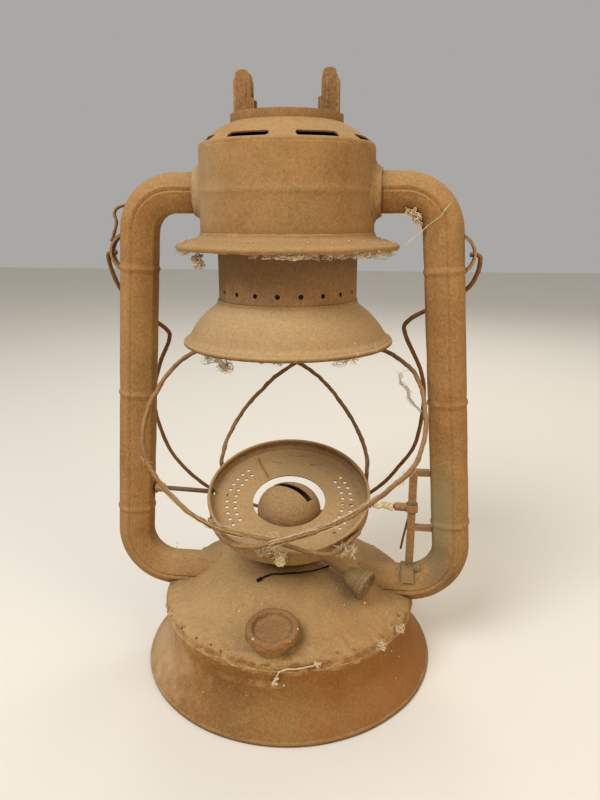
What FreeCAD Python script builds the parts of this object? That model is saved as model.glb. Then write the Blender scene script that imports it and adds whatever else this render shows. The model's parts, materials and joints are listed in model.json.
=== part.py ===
import FreeCAD, Part
import math
import os

# Tubular cold-blast barn lantern of rusted sheet steel, standing on its fount with
# the bail folded down behind. The glass globe and the top cap are missing, so the
# wire guard stands open and two cap prongs rise from the top collar.
# Millimetres. +Z is up, -Y is the front (filler side), +X is the lift-rail side.
# The origin is the centre of the base rim, on the surface the lantern stands on.

V = FreeCAD.Vector
UP = V(0, 0, 1)
RIGHT = V(1, 0, 0)
BACK = V(0, 1, 0)

# ---- base and fount ----
base_radius = 92.0          # rolled base rim
base_bead = 1.2             # radius of the rolled rim
rim_flat = 0.12             # worn flat underneath it
sheet = 0.9                 # sheet steel of the larger shells
seam_height = 43.6          # seam between skirt and fount top
fount_radius = 79.8         # upright wall of the fount
pan_height = 14.0           # underside of the fuel tank
pan_flat = 12.0             # flat middle of that underside
dome_top = 69.0             # top of the fount dome, at the burner collar
chamber_radius = 44.0       # air chamber under the dome
chamber_floor = 38.0

# ---- air tubes ----
tube_radius = 11.4
tube_wall = 0.9
tube_top_height = 289.0     # axis of the upper stubs
tube_low_height = 51.3      # axis of the lower stubs
tube_half_spread_top = 84.3     # leg axis where it would meet the upper stub's axis
tube_half_spread_low = 103.9    # leg axis where it would meet the lower stub's axis
tube_top_bend = 22.6
tube_low_bend = 26.6
band_heights = (95.4, 171.6, 247.1)
band_width = 3.0
band_raise = 0.7

# ---- hood ----
drum_radius = 48.0
drum_low = 262.0
drum_top = 311.5
flange_radius = 62.8
flange_height = 260.0
collar_radius = 30.4
collar_low = 322.6
collar_top = 328.0
flue_radius = 28.6
slot_count = 8
slot_angle = 22.4
slot_turn = 5.0             # degrees, the pair of slots that faces front is off centre
slot_width = 3.4
slot_radius = drum_radius - 4.4
prong_top = 350.4
prong_depth = 10.0

# ---- chimney ----
neck_radius = drum_radius - 8.6
bell_radius = 60.0
bell_low = 205.6
neck_low = 229.0
neck_top = 266.0
vent_count = 20
vent_radius = 1.4
vent_height = 236.0
neck_clearance = 0.5        # neck to the hood floor
spring_radius = neck_radius + 3.0
spring_wire = 0.8
spring_turns = 5

# ---- globe plate, guard and lift ----
axle_height = 105.3
axle_slope = 1.8            # degrees, the axle's left end stands higher
plate_tilt = 19.7           # degrees, how far the plate has dropped forward
plate_radius = 50.4
plate_hole_radius = 22.9
rim_height = 5.4            # rim above the axle
plate_sheet = 0.8
plate_floor = -2.0          # flat part of the plate, below the axle
rod_radius = 1.45
running_fit = 0.05
guard_wire = 1.25
rail_near = 74.4            # lift rail, from its inner to its outer face
rail_far = 79.2
rail_half_width = 2.0
rail_top = 128.2
rail_bracket_drop = 17.2    # middle bracket below the axle
slider_gap = 0.35
slider_wall = 0.8
slider_height = 4.4
slider_eye = 7.0            # length of the eye that holds the axle rod
lift_wire_radius = 0.7

# ---- bail ----
bail_height = 256.0         # axis of the bail
bail_lean = 20.0            # degrees behind the vertical where it hangs
bail_wire = 1.3
bail_span = 90.0            # half-width of the arch
bail_length = 208.0         # axis to the middle of the grip
ear_reach = 104.2
ear_strap = 1.2
ear_half_width = 3.0
ear_half_height = 10.0

# ---- filler ----
filler_y = -67.0
filler_z = 51.4
filler_tilt = 8.0
neck_bore = 10.0
cap_radius = 15.6
cap_wall = 1.0
cap_low = 3.4
cap_top = 7.8
cap_dish_depth = 1.0
gasket_low = 4.7
gasket_high = 5.9
cap_clearance = 0.4

# ---- burner ----
burner_turn = -28.0         # degrees, direction of the wick shaft seen from above
cone_radius = 20.0
cone_low = 80.0
cone_shoulder = 97.0
cone_top = 113.6
burner_radius = 19.2
burner_flange = 23.0
burner_bore = 17.2
wick_width = 16.8
wick_thick = 2.5
wick_low = 24.0
wick_top = 105.5
wick_gap = 0.3
wick_tube_wall = 0.9
wick_tube_low = 36.0
wick_tube_top = 102.0
shaft_radius = 1.25
shaft_slope = 14.0          # degrees, downwards to the knob
knob_reach = 61.0           # burner axis to the knob's outer face
knob_height = 66.0
knob_radius = 9.3
knob_thick = 4.0
knob_cup_length = 8.0       # cone behind the knob's rim
wheel_radius = 3.6
wheel_points = 10
shaft_side = wick_thick / 2 + wick_gap + wheel_radius


os.makedirs("parts", exist_ok=True)


def put(name, shape):
    """Write one sub-part."""
    shape.exportStep("parts/" + name + ".step")


def line(a, b):
    return Part.LineSegment(a, b).toShape()


def polygon_face(points):
    return Part.Face(Part.makePolygon(list(points) + [points[0]]))


def spun(points):
    """Solid of revolution from a closed outline of (radius, height) points."""
    face = polygon_face([V(r, 0, z) for r, z in points])
    return face.revolve(V(0, 0, 0), UP, 360)


def ring(outer, inner, low, high):
    body = Part.makeCylinder(outer, high - low, V(0, 0, low))
    return body.cut(Part.makeCylinder(inner, high - low, V(0, 0, low)))


def spun_sheet(points, wall, start=360.0):
    """Sheet of revolution: a smooth outer outline, and the wall laid on its left."""
    outer = Part.BSplineCurve()
    outer.interpolate([V(r, 0, z) for r, z in points])
    inside = []
    for r, z in points:
        tangent = outer.tangent(outer.parameter(V(r, 0, z)))[0]
        inside.append(V(r, 0, z) + V(-tangent.z, 0, tangent.x) * wall)
    inside.reverse()
    inner = Part.BSplineCurve()
    inner.interpolate(inside)
    first = V(points[0][0], 0, points[0][1])
    last = V(points[-1][0], 0, points[-1][1])
    edges = [outer.toShape(), line(last, inside[0]), inner.toShape(), line(inside[-1], first)]
    return Part.Face(Part.Wire(edges)).revolve(V(0, 0, 0), UP, start)


def rounded_path(points, radii):
    """Straight runs joined by tangent arcs, one radius for each inner point."""
    edges = []
    here = points[0]
    for before, corner, after, radius in zip(points, points[1:], points[2:], radii):
        back = (before - corner).normalize()
        ahead = (after - corner).normalize()
        half = back.getAngle(ahead) / 2
        reach = radius / math.tan(half)
        enter = corner + back * reach
        leave = corner + ahead * reach
        middle_way = (back + ahead).normalize()
        middle = corner + middle_way * (radius / math.sin(half) - radius)
        if enter.distanceToPoint(here) > 1e-4:
            edges.append(line(here, enter))
        edges.append(Part.Arc(enter, middle, leave).toShape())
        here = leave
    edges.append(line(here, points[-1]))
    return Part.Wire(edges)


def rod(points, radii, radius):
    """Round bar along a rounded path."""
    path = rounded_path(points, radii)
    start = points[0]
    disc = Part.Wire(Part.Circle(start, points[1] - start, radius).toShape())
    return path.makePipeShell([disc], True, True)


def gentle_radii(points):
    """The largest arc at each inner point that both of its runs allow."""
    radii = []
    for before, corner, after in zip(points, points[1:], points[2:]):
        back = before - corner
        ahead = after - corner
        run = min(back.Length, ahead.Length)
        turn = math.pi - back.getAngle(ahead)
        radii.append(0.45 * run / math.tan(turn / 2))
    return radii


def mirrored(shape):
    return shape.mirror(V(0, 0, 0), RIGHT)


def leg_at(height):
    """Distance of the leg's axis from the middle plane at a height."""
    share = (tube_top_height - height) / (tube_top_height - tube_low_height)
    return tube_half_spread_top + share * (tube_half_spread_low - tube_half_spread_top)


def tube_solid(radius, upper_end, lower_end):
    """Solid along the right tube's axis."""
    points = [
        V(upper_end, 0, tube_top_height),
        V(tube_half_spread_top, 0, tube_top_height),
        V(tube_half_spread_low, 0, tube_low_height),
        V(lower_end, 0, tube_low_height),
    ]
    return rod(points, [tube_top_bend, tube_low_bend], radius)


# ---- air tubes ----
drum_bore = drum_radius - 1.0
tube_envelope = tube_solid(tube_radius + 0.02, drum_bore - 6, chamber_radius - 8)
both_envelopes = [tube_envelope, mirrored(tube_envelope)]
leg_way = V(tube_half_spread_low - tube_half_spread_top, 0, tube_low_height - tube_top_height)
leg_way.normalize()


def air_tube():
    tube = tube_solid(tube_radius, drum_bore, chamber_radius - 1.0)
    for height in band_heights:
        centre = V(leg_at(height), 0, height) - leg_way * (band_width / 2)
        band = Part.makeCylinder(tube_radius + band_raise, band_width, centre, leg_way)
        tube = tube.fuse(band)
    bore = tube_solid(tube_radius - tube_wall, drum_bore - 5, chamber_radius - 7)
    return tube.cut(bore)


def tube_collar():
    """Flared ring where an upper stub meets the hood drum."""
    foot = V(drum_radius - 1.0, 0, tube_top_height)
    collar = Part.makeCone(tube_radius + 2.6, tube_radius + 0.9, 4.6, foot, RIGHT)
    collar = collar.cut(tube_envelope)
    return collar.cut(Part.makeCylinder(drum_radius + 0.72, 80, V(0, 0, tube_top_height - 40)))


right_tube = air_tube()
right_collar = tube_collar()
put("right_air_tube", right_tube)
put("left_air_tube", mirrored(right_tube))
put("right_tube_collar", right_collar)
put("left_tube_collar", mirrored(right_collar))

# ---- base and fount ----
skirt = spun_sheet([
    (base_radius - 0.5, 1.4), (base_radius - 4.6, 7.4), (base_radius - 8.9, 14.0),
    (fount_radius + 1.0, 20.5), (fount_radius, 28.0),
    (fount_radius, seam_height - 8), (fount_radius, seam_height - 1.0),
], sheet)
rim_bead = Part.makeTorus(base_radius - base_bead, base_bead, V(0, 0, base_bead - rim_flat), UP)
skirt = skirt.fuse(rim_bead)
skirt = skirt.cut(Part.makeCylinder(base_radius - 3.2, 2.0))
skirt = skirt.cut(Part.makeCylinder(base_radius + 5, 5, V(0, 0, -5)))
pan_radius = fount_radius - sheet - 0.1
pan = spun([
    (pan_flat - 1, pan_height), (pan_radius - 6, pan_height + 2), (pan_radius, pan_height + 14),
    (pan_radius, pan_height + 18), (pan_radius - sheet, pan_height + 18),
    (pan_radius - sheet, pan_height + 14.4), (pan_radius - 6.6, pan_height + 2.9),
    (pan_flat - 1, pan_height + sheet),
])
pan = pan.fuse(Part.makeCylinder(pan_flat, sheet, V(0, 0, pan_height)))
fount_outline = [
    (fount_radius + 0.2, seam_height - 0.6), (fount_radius - 1.6, seam_height + 2.2),
    (72.0, 47.3), (64.0, 49.6), (57.0, 53.0), (50.0, 58.0), (45.0, 61.8), (39.0, 64.8), (32.0, 67.0),
    (25.0, 68.4), (burner_bore + 1.75, dome_top),
]
fount_top = spun_sheet(fount_outline, sheet)
filler_way = V(0, -math.sin(math.radians(filler_tilt)), math.cos(math.radians(filler_tilt)))
filler_seat = V(0, filler_y, filler_z)
neck_outer = neck_bore + 0.9
filler_hole = Part.makeCylinder(neck_outer + 0.02, 18, filler_seat - filler_way * 12, filler_way)
for envelope in both_envelopes:
    skirt = skirt.cut(envelope)
    fount_top = fount_top.cut(envelope)
fount_top = fount_top.cut(filler_hole)
chamber_top = 58.9
chamber = ring(chamber_radius, chamber_radius - 0.8, chamber_floor, chamber_top)
chamber_disc = Part.makeCylinder(chamber_radius, 0.8, V(0, 0, chamber_floor))
chamber = chamber.fuse(chamber_disc)
for envelope in both_envelopes:
    chamber = chamber.cut(envelope)
wick_way = Part.makeBox(wick_width + 4, wick_thick + 4, 40)
wick_way.translate(V(-(wick_width + 4) / 2, -(wick_thick + 4) / 2, 30))
wick_way.rotate(V(0, 0, 0), UP, burner_turn)
chamber = chamber.cut(wick_way)
put("base_skirt", skirt)
put("fount_bottom_pan", pan)
put("fount_top_dome", fount_top)
put("air_chamber", chamber)

# ---- filler ----
def along_filler(outer, inner, low, high):
    body = Part.makeCylinder(outer, high - low, filler_seat + filler_way * low, filler_way)
    return body.cut(Part.makeCylinder(inner, high - low, filler_seat + filler_way * low, filler_way))


filler_neck = along_filler(neck_outer, neck_bore, -6.0, gasket_low - 0.3)
gasket = along_filler(cap_radius - cap_wall - 0.1, neck_bore + 0.2, gasket_low, gasket_high)
cap_skirt = along_filler(cap_radius, cap_radius - cap_wall, cap_low, cap_top - 1.2)
disc_low = gasket_high + 0.2
disc_seat = filler_seat + filler_way * disc_low
cap_disc = Part.makeCylinder(cap_radius, cap_top - disc_low, disc_seat, filler_way)
dish_seat = filler_seat + filler_way * (cap_top - cap_dish_depth)
cap_dish = Part.makeCylinder(cap_radius - 3.2, 3, dish_seat, filler_way)
cap_inner = along_filler(cap_radius - cap_wall, neck_outer + cap_clearance, cap_low + 0.6, gasket_low - 0.3)
filler_cap = cap_skirt.fuse(cap_disc).cut(cap_dish).fuse(cap_inner)
put("filler_neck", filler_neck)
put("cap_gasket", gasket)
put("filler_cap", filler_cap)

# ---- hood ----
drum = ring(drum_radius, drum_bore, drum_low, drum_top)
drum_bead = Part.makeTorus(drum_radius - 0.3, 1.0, V(0, 0, tube_top_height), UP)
drum = drum.fuse(drum_bead).cut(Part.makeCylinder(drum_bore, 60, V(0, 0, drum_low - 5)))
for envelope in both_envelopes:
    drum = drum.cut(envelope)
flange = spun_sheet([
    (flange_radius - 1.5, flange_height + 1.7), (57.7, flange_height + 3.2),
    (54.4, flange_height + 4.2), (51.6, flange_height + 5.0), (drum_radius + 1.6, flange_height + 6.0),
    (drum_radius + 0.95, flange_height + 8.0),
], sheet)
flange_bead = Part.makeTorus(flange_radius - 1.5, 1.5, V(0, 0, flange_height + 0.3), UP)
flange = flange.fuse(flange_bead)
flange = flange.cut(Part.makeCylinder(drum_radius + 0.02, 20, V(0, 0, flange_height)))
hood_floor = ring(drum_bore - 0.02, neck_radius + neck_clearance, drum_low, drum_low + 1.0)
hood_dome = spun_sheet([
    (drum_radius, drum_top + 0.02), (drum_radius - 0.4, drum_top + 1.5),
    (drum_radius - 2.0, drum_top + 2.8), (drum_radius - 5.0, drum_top + 4.8),
    (39.6, drum_top + 7.4), (35.6, drum_top + 9.9),
    (collar_radius - 0.8, drum_top + 12.6),
], sheet)
for number in range(slot_count):
    middle = 270 + slot_turn + (number + 0.5) * 360 / slot_count
    cutter = Part.makeCylinder(slot_radius + slot_width / 2, 14, V(0, 0, drum_top + 0.6), UP, slot_angle)
    cutter = cutter.cut(Part.makeCylinder(slot_radius - slot_width / 2, 14, V(0, 0, drum_top + 0.6)))
    for turn in (0, slot_angle):
        way = V(math.cos(math.radians(turn)), math.sin(math.radians(turn)), 0)
        slot_end = way * slot_radius + UP * (drum_top + 0.6)
        cutter = cutter.fuse(Part.makeCylinder(slot_width / 2, 14, slot_end))
    cutter.rotate(V(0, 0, 0), UP, middle - slot_angle / 2)
    hood_dome = hood_dome.cut(cutter)
top_collar = ring(collar_radius, collar_radius - 0.8, collar_low, collar_top)
hood_dome = hood_dome.cut(Part.makeCylinder(collar_radius + 0.02, 12, V(0, 0, drum_top + 8)))
flue = ring(flue_radius, flue_radius - 0.8, 284.0, collar_top - 1.5)
flue_lip = ring(collar_radius - 0.82, flue_radius, collar_top - 2.6, collar_top - 1.5)
flue = flue.fuse(flue_lip)
put("hood_drum", drum)
put("hood_flange", flange)
put("hood_floor_ring", hood_floor)
put("hood_dome", hood_dome)
put("top_collar", top_collar)


def prong():
    """Left channel leg that carried the top cap: an outer web and two stepped flanges."""
    outer = collar_radius - 2.4
    profile = polygon_face([
        V(-outer, 0, collar_low + 2.4), V(-outer, 0, prong_top - 2.8),
        V(-outer + 2.0, 0, prong_top - 2.0), V(-outer + 2.0, 0, prong_top),
        V(-outer + 7.0, 0, prong_top), V(-outer + 7.0, 0, prong_top - 10.6),
        V(-outer + 10.6, 0, prong_top - 11.8), V(-outer + 10.6, 0, collar_low + 2.4),
    ])
    block = profile.extrude(BACK * prong_depth)
    block.translate(BACK * (-prong_depth / 2))
    inside = Part.makeBox(20, prong_depth - 1.8, 60)
    inside.translate(V(-outer + 0.9, -prong_depth / 2 + 0.9, collar_low - 10))
    return block.cut(inside)


left_prong = prong()
flue_slots = [left_prong.BoundBox, mirrored(left_prong).BoundBox]
for box in flue_slots:
    notch = Part.makeBox(box.XLength + 0.3, box.YLength + 0.3, 20)
    notch.translate(V(box.XMin - 0.15, box.YMin - 0.15, box.ZMin - 0.05))
    flue = flue.cut(notch)
put("flue_tube", flue)
put("prong_left", left_prong)
put("prong_right", mirrored(left_prong))


def ear():
    """Strap on the right tube's outer side that holds one end of the bail."""
    foot = leg_at(bail_height) + tube_radius - 1.5
    low = bail_height - ear_half_height
    high = bail_height + ear_half_height
    crown = V(ear_reach, 0, bail_height)
    hollow = V(ear_reach - ear_strap, 0, bail_height)
    outer = Part.Arc(V(foot, 0, low - 1), crown, V(foot, 0, high + 1)).toShape()
    inner = Part.Arc(V(foot, 0, high - 1), hollow, V(foot, 0, low + 1)).toShape()
    first = line(V(foot, 0, high + 1), V(foot, 0, high - 1))
    last = line(V(foot, 0, low + 1), V(foot, 0, low - 1))
    outline = Part.Wire([outer, first, inner, last])
    strap = Part.Face(outline).extrude(BACK * (2 * ear_half_width))
    strap.translate(BACK * -ear_half_width)
    strap = strap.cut(tube_envelope).cut(right_tube)
    hole = Part.makeCylinder(bail_wire + running_fit, 12, V(ear_reach - 8, 0, bail_height), RIGHT)
    return max(strap.cut(hole).Solids, key=lambda solid: solid.Volume)


right_ear = ear()
put("bail_ear_right", right_ear)
put("bail_ear_left", mirrored(right_ear))

# ---- bail ----
lean = math.radians(bail_lean)
hang = V(0, math.sin(lean), -math.cos(lean))


def bail_point(across, down):
    return V(across, 0, bail_height) + hang * down


bail_start = ear_reach - 3.2
right_half = [
    (bail_start, 0), (ear_reach + 2.6, 0), (ear_reach - 0.4, 24), (98, 38),
    (77, 49), (76, 60), (88, 84), (bail_span, bail_length),
]
half_radii = [2.0, 20.0, 7.0, 8.0, 14.0, 30.0, bail_span - 3.0]
bail_points = [bail_point(a, d) for a, d in right_half]
bail_points += [bail_point(-a, d) for a, d in reversed(right_half)]
bail = rod(bail_points, half_radii + half_radii[::-1], bail_wire)
for side in (1, -1):
    head = Part.makeCylinder(bail_wire + 0.9, 1.0, V(side * bail_start, 0, bail_height), RIGHT * side)
    bail = bail.fuse(head)
put("bail", bail)

# ---- chimney ----
bell = spun_sheet([
    (bell_radius - 0.4, bell_low + 1.4), (bell_radius - 2.4, bell_low + 4.0), (55.8, bell_low + 6.8),
    (53.6, bell_low + 10.2), (50.4, bell_low + 14.2), (46.4, bell_low + 18.0), (42.8, bell_low + 20.8),
    (neck_radius + 1.2, neck_low),
    (neck_radius + 0.95, neck_low + 3),
], sheet)
bell_bead = Part.makeTorus(bell_radius - 0.7, 1.3, V(0, 0, bell_low + 1.3), UP)
sleeve_bore = Part.makeCylinder(neck_radius + 0.02, 20, V(0, 0, neck_low - 6))
bell = bell.fuse(bell_bead).cut(sleeve_bore)
neck = ring(neck_radius, neck_radius - 0.8, neck_low - 1.0, neck_top)
for number in range(vent_count):
    turn = math.radians(number * 360 / vent_count)
    way = V(math.cos(turn), math.sin(turn), 0)
    neck = neck.cut(Part.makeCylinder(vent_radius, 8, way * (neck_radius - 4) + UP * vent_height, way))
stop_low = drum_low + 1.3
stop_ring = ring(drum_bore - 0.6, neck_radius + 0.02, stop_low, stop_low + 1.0)
spring_low = stop_low + 1.0 + spring_wire + 0.1
spring_high = drum_top + 1.4
pitch = (spring_high - spring_low) / spring_turns
helix = Part.makeHelix(pitch, spring_high - spring_low, spring_radius)
disc = Part.Wire(Part.Circle(V(spring_radius, 0, 0), BACK, spring_wire).toShape())
spring = Part.Wire(helix.Edges).makePipeShell([disc], True, True)
spring.translate(V(0, 0, spring_low))
put("chimney_bell", bell)
put("chimney_neck", neck)
put("chimney_stop_ring", stop_ring)
put("chimney_spring", spring)

# ---- lift rail ----
rail_foot = tube_low_height + tube_radius - 0.6
rail_depth = rail_far - rail_near
rail = Part.makeBox(rail_depth, 2 * rail_half_width, rail_top - rail_foot)
rail.translate(V(rail_near, -rail_half_width, rail_foot))
rail = rail.cut(tube_envelope)
put("lift_rail", rail)


def rail_bracket(low, high):
    reach = leg_at(low) - rail_far
    block = Part.makeBox(reach, 2 * rail_half_width, high - low)
    block.translate(V(rail_far, -rail_half_width, low))
    return block.cut(tube_envelope)


bracket_low = axle_height - rail_bracket_drop
put("rail_bracket_top", rail_bracket(rail_top - 3.6, rail_top))
put("rail_bracket_middle", rail_bracket(bracket_low, bracket_low + 3.2))
boss = Part.makeCylinder(tube_radius + 1.1, 7.6, V(rail_near - 2.4, 0, tube_low_height), RIGHT)
boss = boss.cut(Part.makeBox(60, 60, 40, V(50, -30, tube_low_height - 34.5)))
boss = boss.cut(tube_envelope).cut(rail)
put("rail_foot_boss", boss)

# ---- globe plate and guard, built level about the axle and then dropped forward ----
axle_way = V(math.cos(math.radians(axle_slope)), 0, -math.sin(math.radians(axle_slope)))


def on_axle(distance):
    """Point of the axle at a distance along it."""
    return V(0, 0, axle_height) + axle_way * distance


def dropped(shape):
    shape.rotate(V(0, 0, 0), RIGHT, plate_tilt)
    shape.rotate(V(0, 0, 0), BACK, axle_slope)
    shape.translate(V(0, 0, axle_height))
    return shape


wall_inside = plate_radius - plate_sheet
plate = spun([
    (plate_hole_radius, plate_floor - plate_sheet), (plate_hole_radius, plate_floor),
    (plate_radius - 5.0, plate_floor), (plate_radius - 2.2, plate_floor + 1.0),
    (wall_inside, plate_floor + 3.4),
    (wall_inside, rim_height), (plate_radius, rim_height), (plate_radius, plate_floor - 2.2),
    (wall_inside, plate_floor - 2.2), (wall_inside, plate_floor + 1.6),
    (plate_radius - 2.4, plate_floor), (plate_radius - 4.8, plate_floor - plate_sheet),
])
rim_roll = Part.makeTorus(plate_radius - 0.5, 1.0, V(0, 0, rim_height), UP)
plate = plate.fuse(rim_roll)
for side in (0, 180):
    for radius, count, step in ((34.2, 9, 9.0), (39.4, 11, 7.7)):
        for number in range(count):
            turn = math.radians(side + (number - (count - 1) / 2) * step)
            spot = V(radius * math.cos(turn), radius * math.sin(turn), plate_floor - 3)
            plate = plate.cut(Part.makeCylinder(1.15, 6, spot))
plate = plate.cut(Part.makeCylinder(1.1, 6, V(17.0, -41.2, plate_floor - 3)))
for side in (1, -1):
    hole = Part.makeCylinder(rod_radius + 0.02, 8, V(side * (plate_radius - 4), 0, 0), RIGHT * side)
    rivet_seat = Part.makeCylinder(rod_radius + 0.52, 4, V(side * (wall_inside - 4.02), 0, 0), RIGHT * side)
    plate = plate.cut(hole).cut(rivet_seat)

slider_face = rail_near - slider_gap - slider_wall
rod_start = wall_inside - 0.8


def axle_rod(side, end):
    """Rod riveted through the plate's wall, with a nut on the outside."""
    rod_body = Part.makeCylinder(rod_radius, end - rod_start, V(side * rod_start, 0, 0), RIGHT * side)
    rivet_head = Part.makeCylinder(rod_radius + 0.5, 0.75, V(side * rod_start, 0, 0), RIGHT * side)
    outer_seat = V(side * (plate_radius + 0.05), 0, 0)
    outer_nut = Part.makeCylinder(rod_radius + 0.9, 1.4, outer_seat, RIGHT * side)
    return dropped(rod_body.fuse(rivet_head).fuse(outer_nut))


clip_outer = leg_at(axle_height) - tube_radius - 1.6
put("axle_rod_right", axle_rod(1, slider_face - 0.4))
put("axle_rod_left", axle_rod(-1, clip_outer - 0.4))

left_route = [
    (-47.6, 19.6, -0.8), (-48.2, 28.0, 9.0), (-40.5, 48.0, 24.0), (-21.0, 66.3, 42.7),
    (-1.0, 75.5, 55.5), (24.5, 72.0, 70.0), (50.5, 57.0, 78.5), (71.5, 31.0, 79.0),
    (78.0, 4.0, 71.0), (77.0, -15.0, 62.5), (71.0, -27.0, 55.0), (53.0, -39.5, 42.5),
    (31.0, -49.5, 31.5), (-1.5, -57.4, 21.0), (-27.0, -51.0, 11.0), (-45.6, -24.2, 0.0),
]
right_route = [
    (47.6, 19.6, -0.8), (47.3, 30.0, 12.0), (38.5, 47.5, 23.5), (20.0, 62.8, 42.0),
    (0.0, 71.3, 54.0), (-25.0, 66.8, 67.5), (-50.3, 55.0, 76.5), (-68.5, 30.4, 79.0),
    (-78.4, 4.0, 71.0), (-80.0, -16.0, 62.0), (-75.6, -30.6, 51.6), (-59.6, -43.4, 38.5),
    (-35.4, -53.0, 27.0), (-1.0, -52.2, 17.5), (29.5, -51.5, 9.5), (45.6, -24.2, 0.0),
]


def guard_loop(route):
    """One wire loop round the globe space, both ends held in the plate's wall."""
    points = [V(x, y, z) for x, y, z in route]
    return rod(points, gentle_radii(points), guard_wire)


guard_left = guard_loop(left_route)
guard_right = guard_loop(right_route)
plate = plate.cut(guard_left).cut(guard_right)
put("globe_plate", dropped(plate))
put("guard_wire_left", dropped(guard_left))
put("guard_wire_right", dropped(guard_right))

# ---- lift slider, tube guide and lift wire ----
slider_low = on_axle(slider_face).z - slider_height / 2
slider_side = rail_half_width + slider_gap + slider_wall
slider = Part.makeBox(rail_depth + 2 * (slider_gap + slider_wall), 2 * slider_side, slider_height)
slider.translate(V(slider_face, -slider_side, slider_low))
slider_way = Part.makeBox(rail_depth + 2 * slider_gap, 2 * (slider_side - slider_wall), slider_height)
slider_way.translate(V(rail_near - slider_gap, slider_wall - slider_side, slider_low))
slider = slider.cut(slider_way)
eye_start = slider_face - slider_eye
eye = Part.makeCylinder(rod_radius + 1.1, slider_eye + 0.6, on_axle(eye_start), axle_way)
inner_space = Part.makeBox(30, 30, 30, V(rail_near - slider_gap, -15, slider_low - 10))
slider = slider.fuse(eye.cut(inner_space))
bore = Part.makeCylinder(rod_radius + running_fit, slider_eye + 1.3, on_axle(eye_start - 1), axle_way)
slider = slider.cut(bore)
put("lift_slider", slider)

clip_gap = 1.3
clip_wall = 1.2
clip_centre = on_axle(-leg_at(axle_height))
clip_axis = V(-leg_way.x, 0, leg_way.z) * -1
clip_base = clip_centre - clip_axis * 3
clip = Part.makeCylinder(tube_radius + clip_gap + clip_wall, 6, clip_base, clip_axis)
clip = clip.cut(Part.makeCylinder(tube_radius + clip_gap, 6, clip_base, clip_axis))
clip = clip.cut(Part.makeBox(60, 30, 30, V(clip_centre.x - 30, -30 - rod_radius, clip_centre.z - 15)))
clip = clip.cut(Part.makeBox(30, 60, 30, V(clip_centre.x - 33, -30, clip_centre.z - 15)))
clip_eye = Part.makeCylinder(rod_radius + 1.4, 5.4, on_axle(-(clip_outer + 0.2)), axle_way)
clip_keep_out = Part.makeCylinder(tube_radius + clip_gap, 20, clip_centre - clip_axis * 10, clip_axis)
clip = clip.fuse(clip_eye.cut(clip_keep_out))
clip_bore = Part.makeCylinder(rod_radius + running_fit, 8, on_axle(-clip_outer), axle_way)
clip = clip.cut(clip_bore)
put("tube_guide_clip", clip)

wire_side = slider_side + lift_wire_radius
lift_wire = rod([
    V(rail_near + 1.6, wire_side, slider_low + slider_height),
    V(rail_near + 1.2, wire_side, slider_low - 4),
    V(rail_near - 1.6, 8.4, 78), V(rail_near - 2.8, 9.8, 69.0),
], [6, 12], lift_wire_radius)
put("lift_wire", lift_wire)

# ---- burner, built with the wick along X and then turned ----
def turned_burner(shape):
    shape.rotate(V(0, 0, 0), UP, burner_turn)
    return shape


slope = math.radians(shaft_slope)
shaft_way = V(math.cos(slope), 0, -math.sin(slope))
knob_face = V(knob_reach, -shaft_side, knob_height)


def on_shaft(across):
    """Point of the wick shaft at a distance across the burner."""
    return knob_face + shaft_way * ((across - knob_reach) / math.cos(slope))


collar = ring(burner_bore + 1.6, burner_bore + 0.02, dome_top - 5.4, dome_top + 1.0)
body = ring(burner_bore, burner_bore - 0.8, dome_top - 4.4, dome_top + 2.0)
body = body.fuse(ring(burner_flange, burner_bore - 0.8, dome_top + 1.2, dome_top + 2.2))
body = body.fuse(ring(burner_radius, burner_radius - 0.8, dome_top + 2.2, cone_low + 7))
floor = Part.makeCylinder(burner_radius - 0.4, 0.8, V(0, 0, dome_top + 1.6))
half_long = wick_width / 2 + wick_gap
half_thick = wick_thick / 2 + wick_gap
tube_long = half_long + wick_tube_wall
tube_thick = half_thick + wick_tube_wall
tube_way = Part.makeBox(2 * tube_long + 0.04, 2 * tube_thick + 0.04, 4)
tube_way.translate(V(-tube_long - 0.02, -tube_thick - 0.02, dome_top))
floor = floor.cut(tube_way)
for number in range(14):
    turn = math.radians(number * 360 / 14 + 12)
    floor = floor.cut(Part.makeCylinder(1.5, 4, V(13.6 * math.cos(turn), 13.6 * math.sin(turn), dome_top)))
body = body.fuse(floor)
shaft_bore = Part.makeCylinder(shaft_radius + running_fit, 34, on_shaft(10), shaft_way)
bush = Part.makeCylinder(shaft_radius + 1.3, 7.0, on_shaft(15.5), shaft_way)
body = body.cut(bush)
bush = bush.cut(shaft_bore)
cone = spun_sheet([
    (cone_radius, cone_shoulder), (19.3, 101.6), (16.9, 106.4), (12.6, 110.4),
    (6.6, cone_top - 0.7), (0.02, cone_top),
], 0.7)
cone = cone.fuse(ring(cone_radius, cone_radius - 0.7, cone_low, cone_shoulder))
cone = cone.cut(Part.makeBox(32, 5.2, 20, V(-16, -2.6, 101)))
cone = cone.cut(Part.makeCylinder(0.4, 6, V(0, 0, cone_top - 3)))
wick_tube = Part.makeBox(2 * tube_long, 2 * tube_thick, wick_tube_top - wick_tube_low)
wick_tube.translate(V(-tube_long, -tube_thick, wick_tube_low))
wick_tube = wick_tube.cut(Part.makeBox(2 * half_long, 2 * half_thick, 80, V(-half_long, -half_thick, 30)))
wheel_spots = (-4.6, 4.6)
for across in wheel_spots:
    spot = on_shaft(across)
    window = Part.makeBox(3.6, 4.0, 2 * wheel_radius + 2.4)
    window.translate(V(spot.x - 1.8, -tube_thick - 2.2, spot.z - wheel_radius - 1.2))
    wick_tube = wick_tube.cut(window)
lug_spot = on_shaft(-9.4)
lug_low = -shaft_side - shaft_radius - 1.4
lug = Part.makeBox(2.0, -tube_thick - lug_low, 6.0, V(-10.4, lug_low, lug_spot.z - 3))
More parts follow.
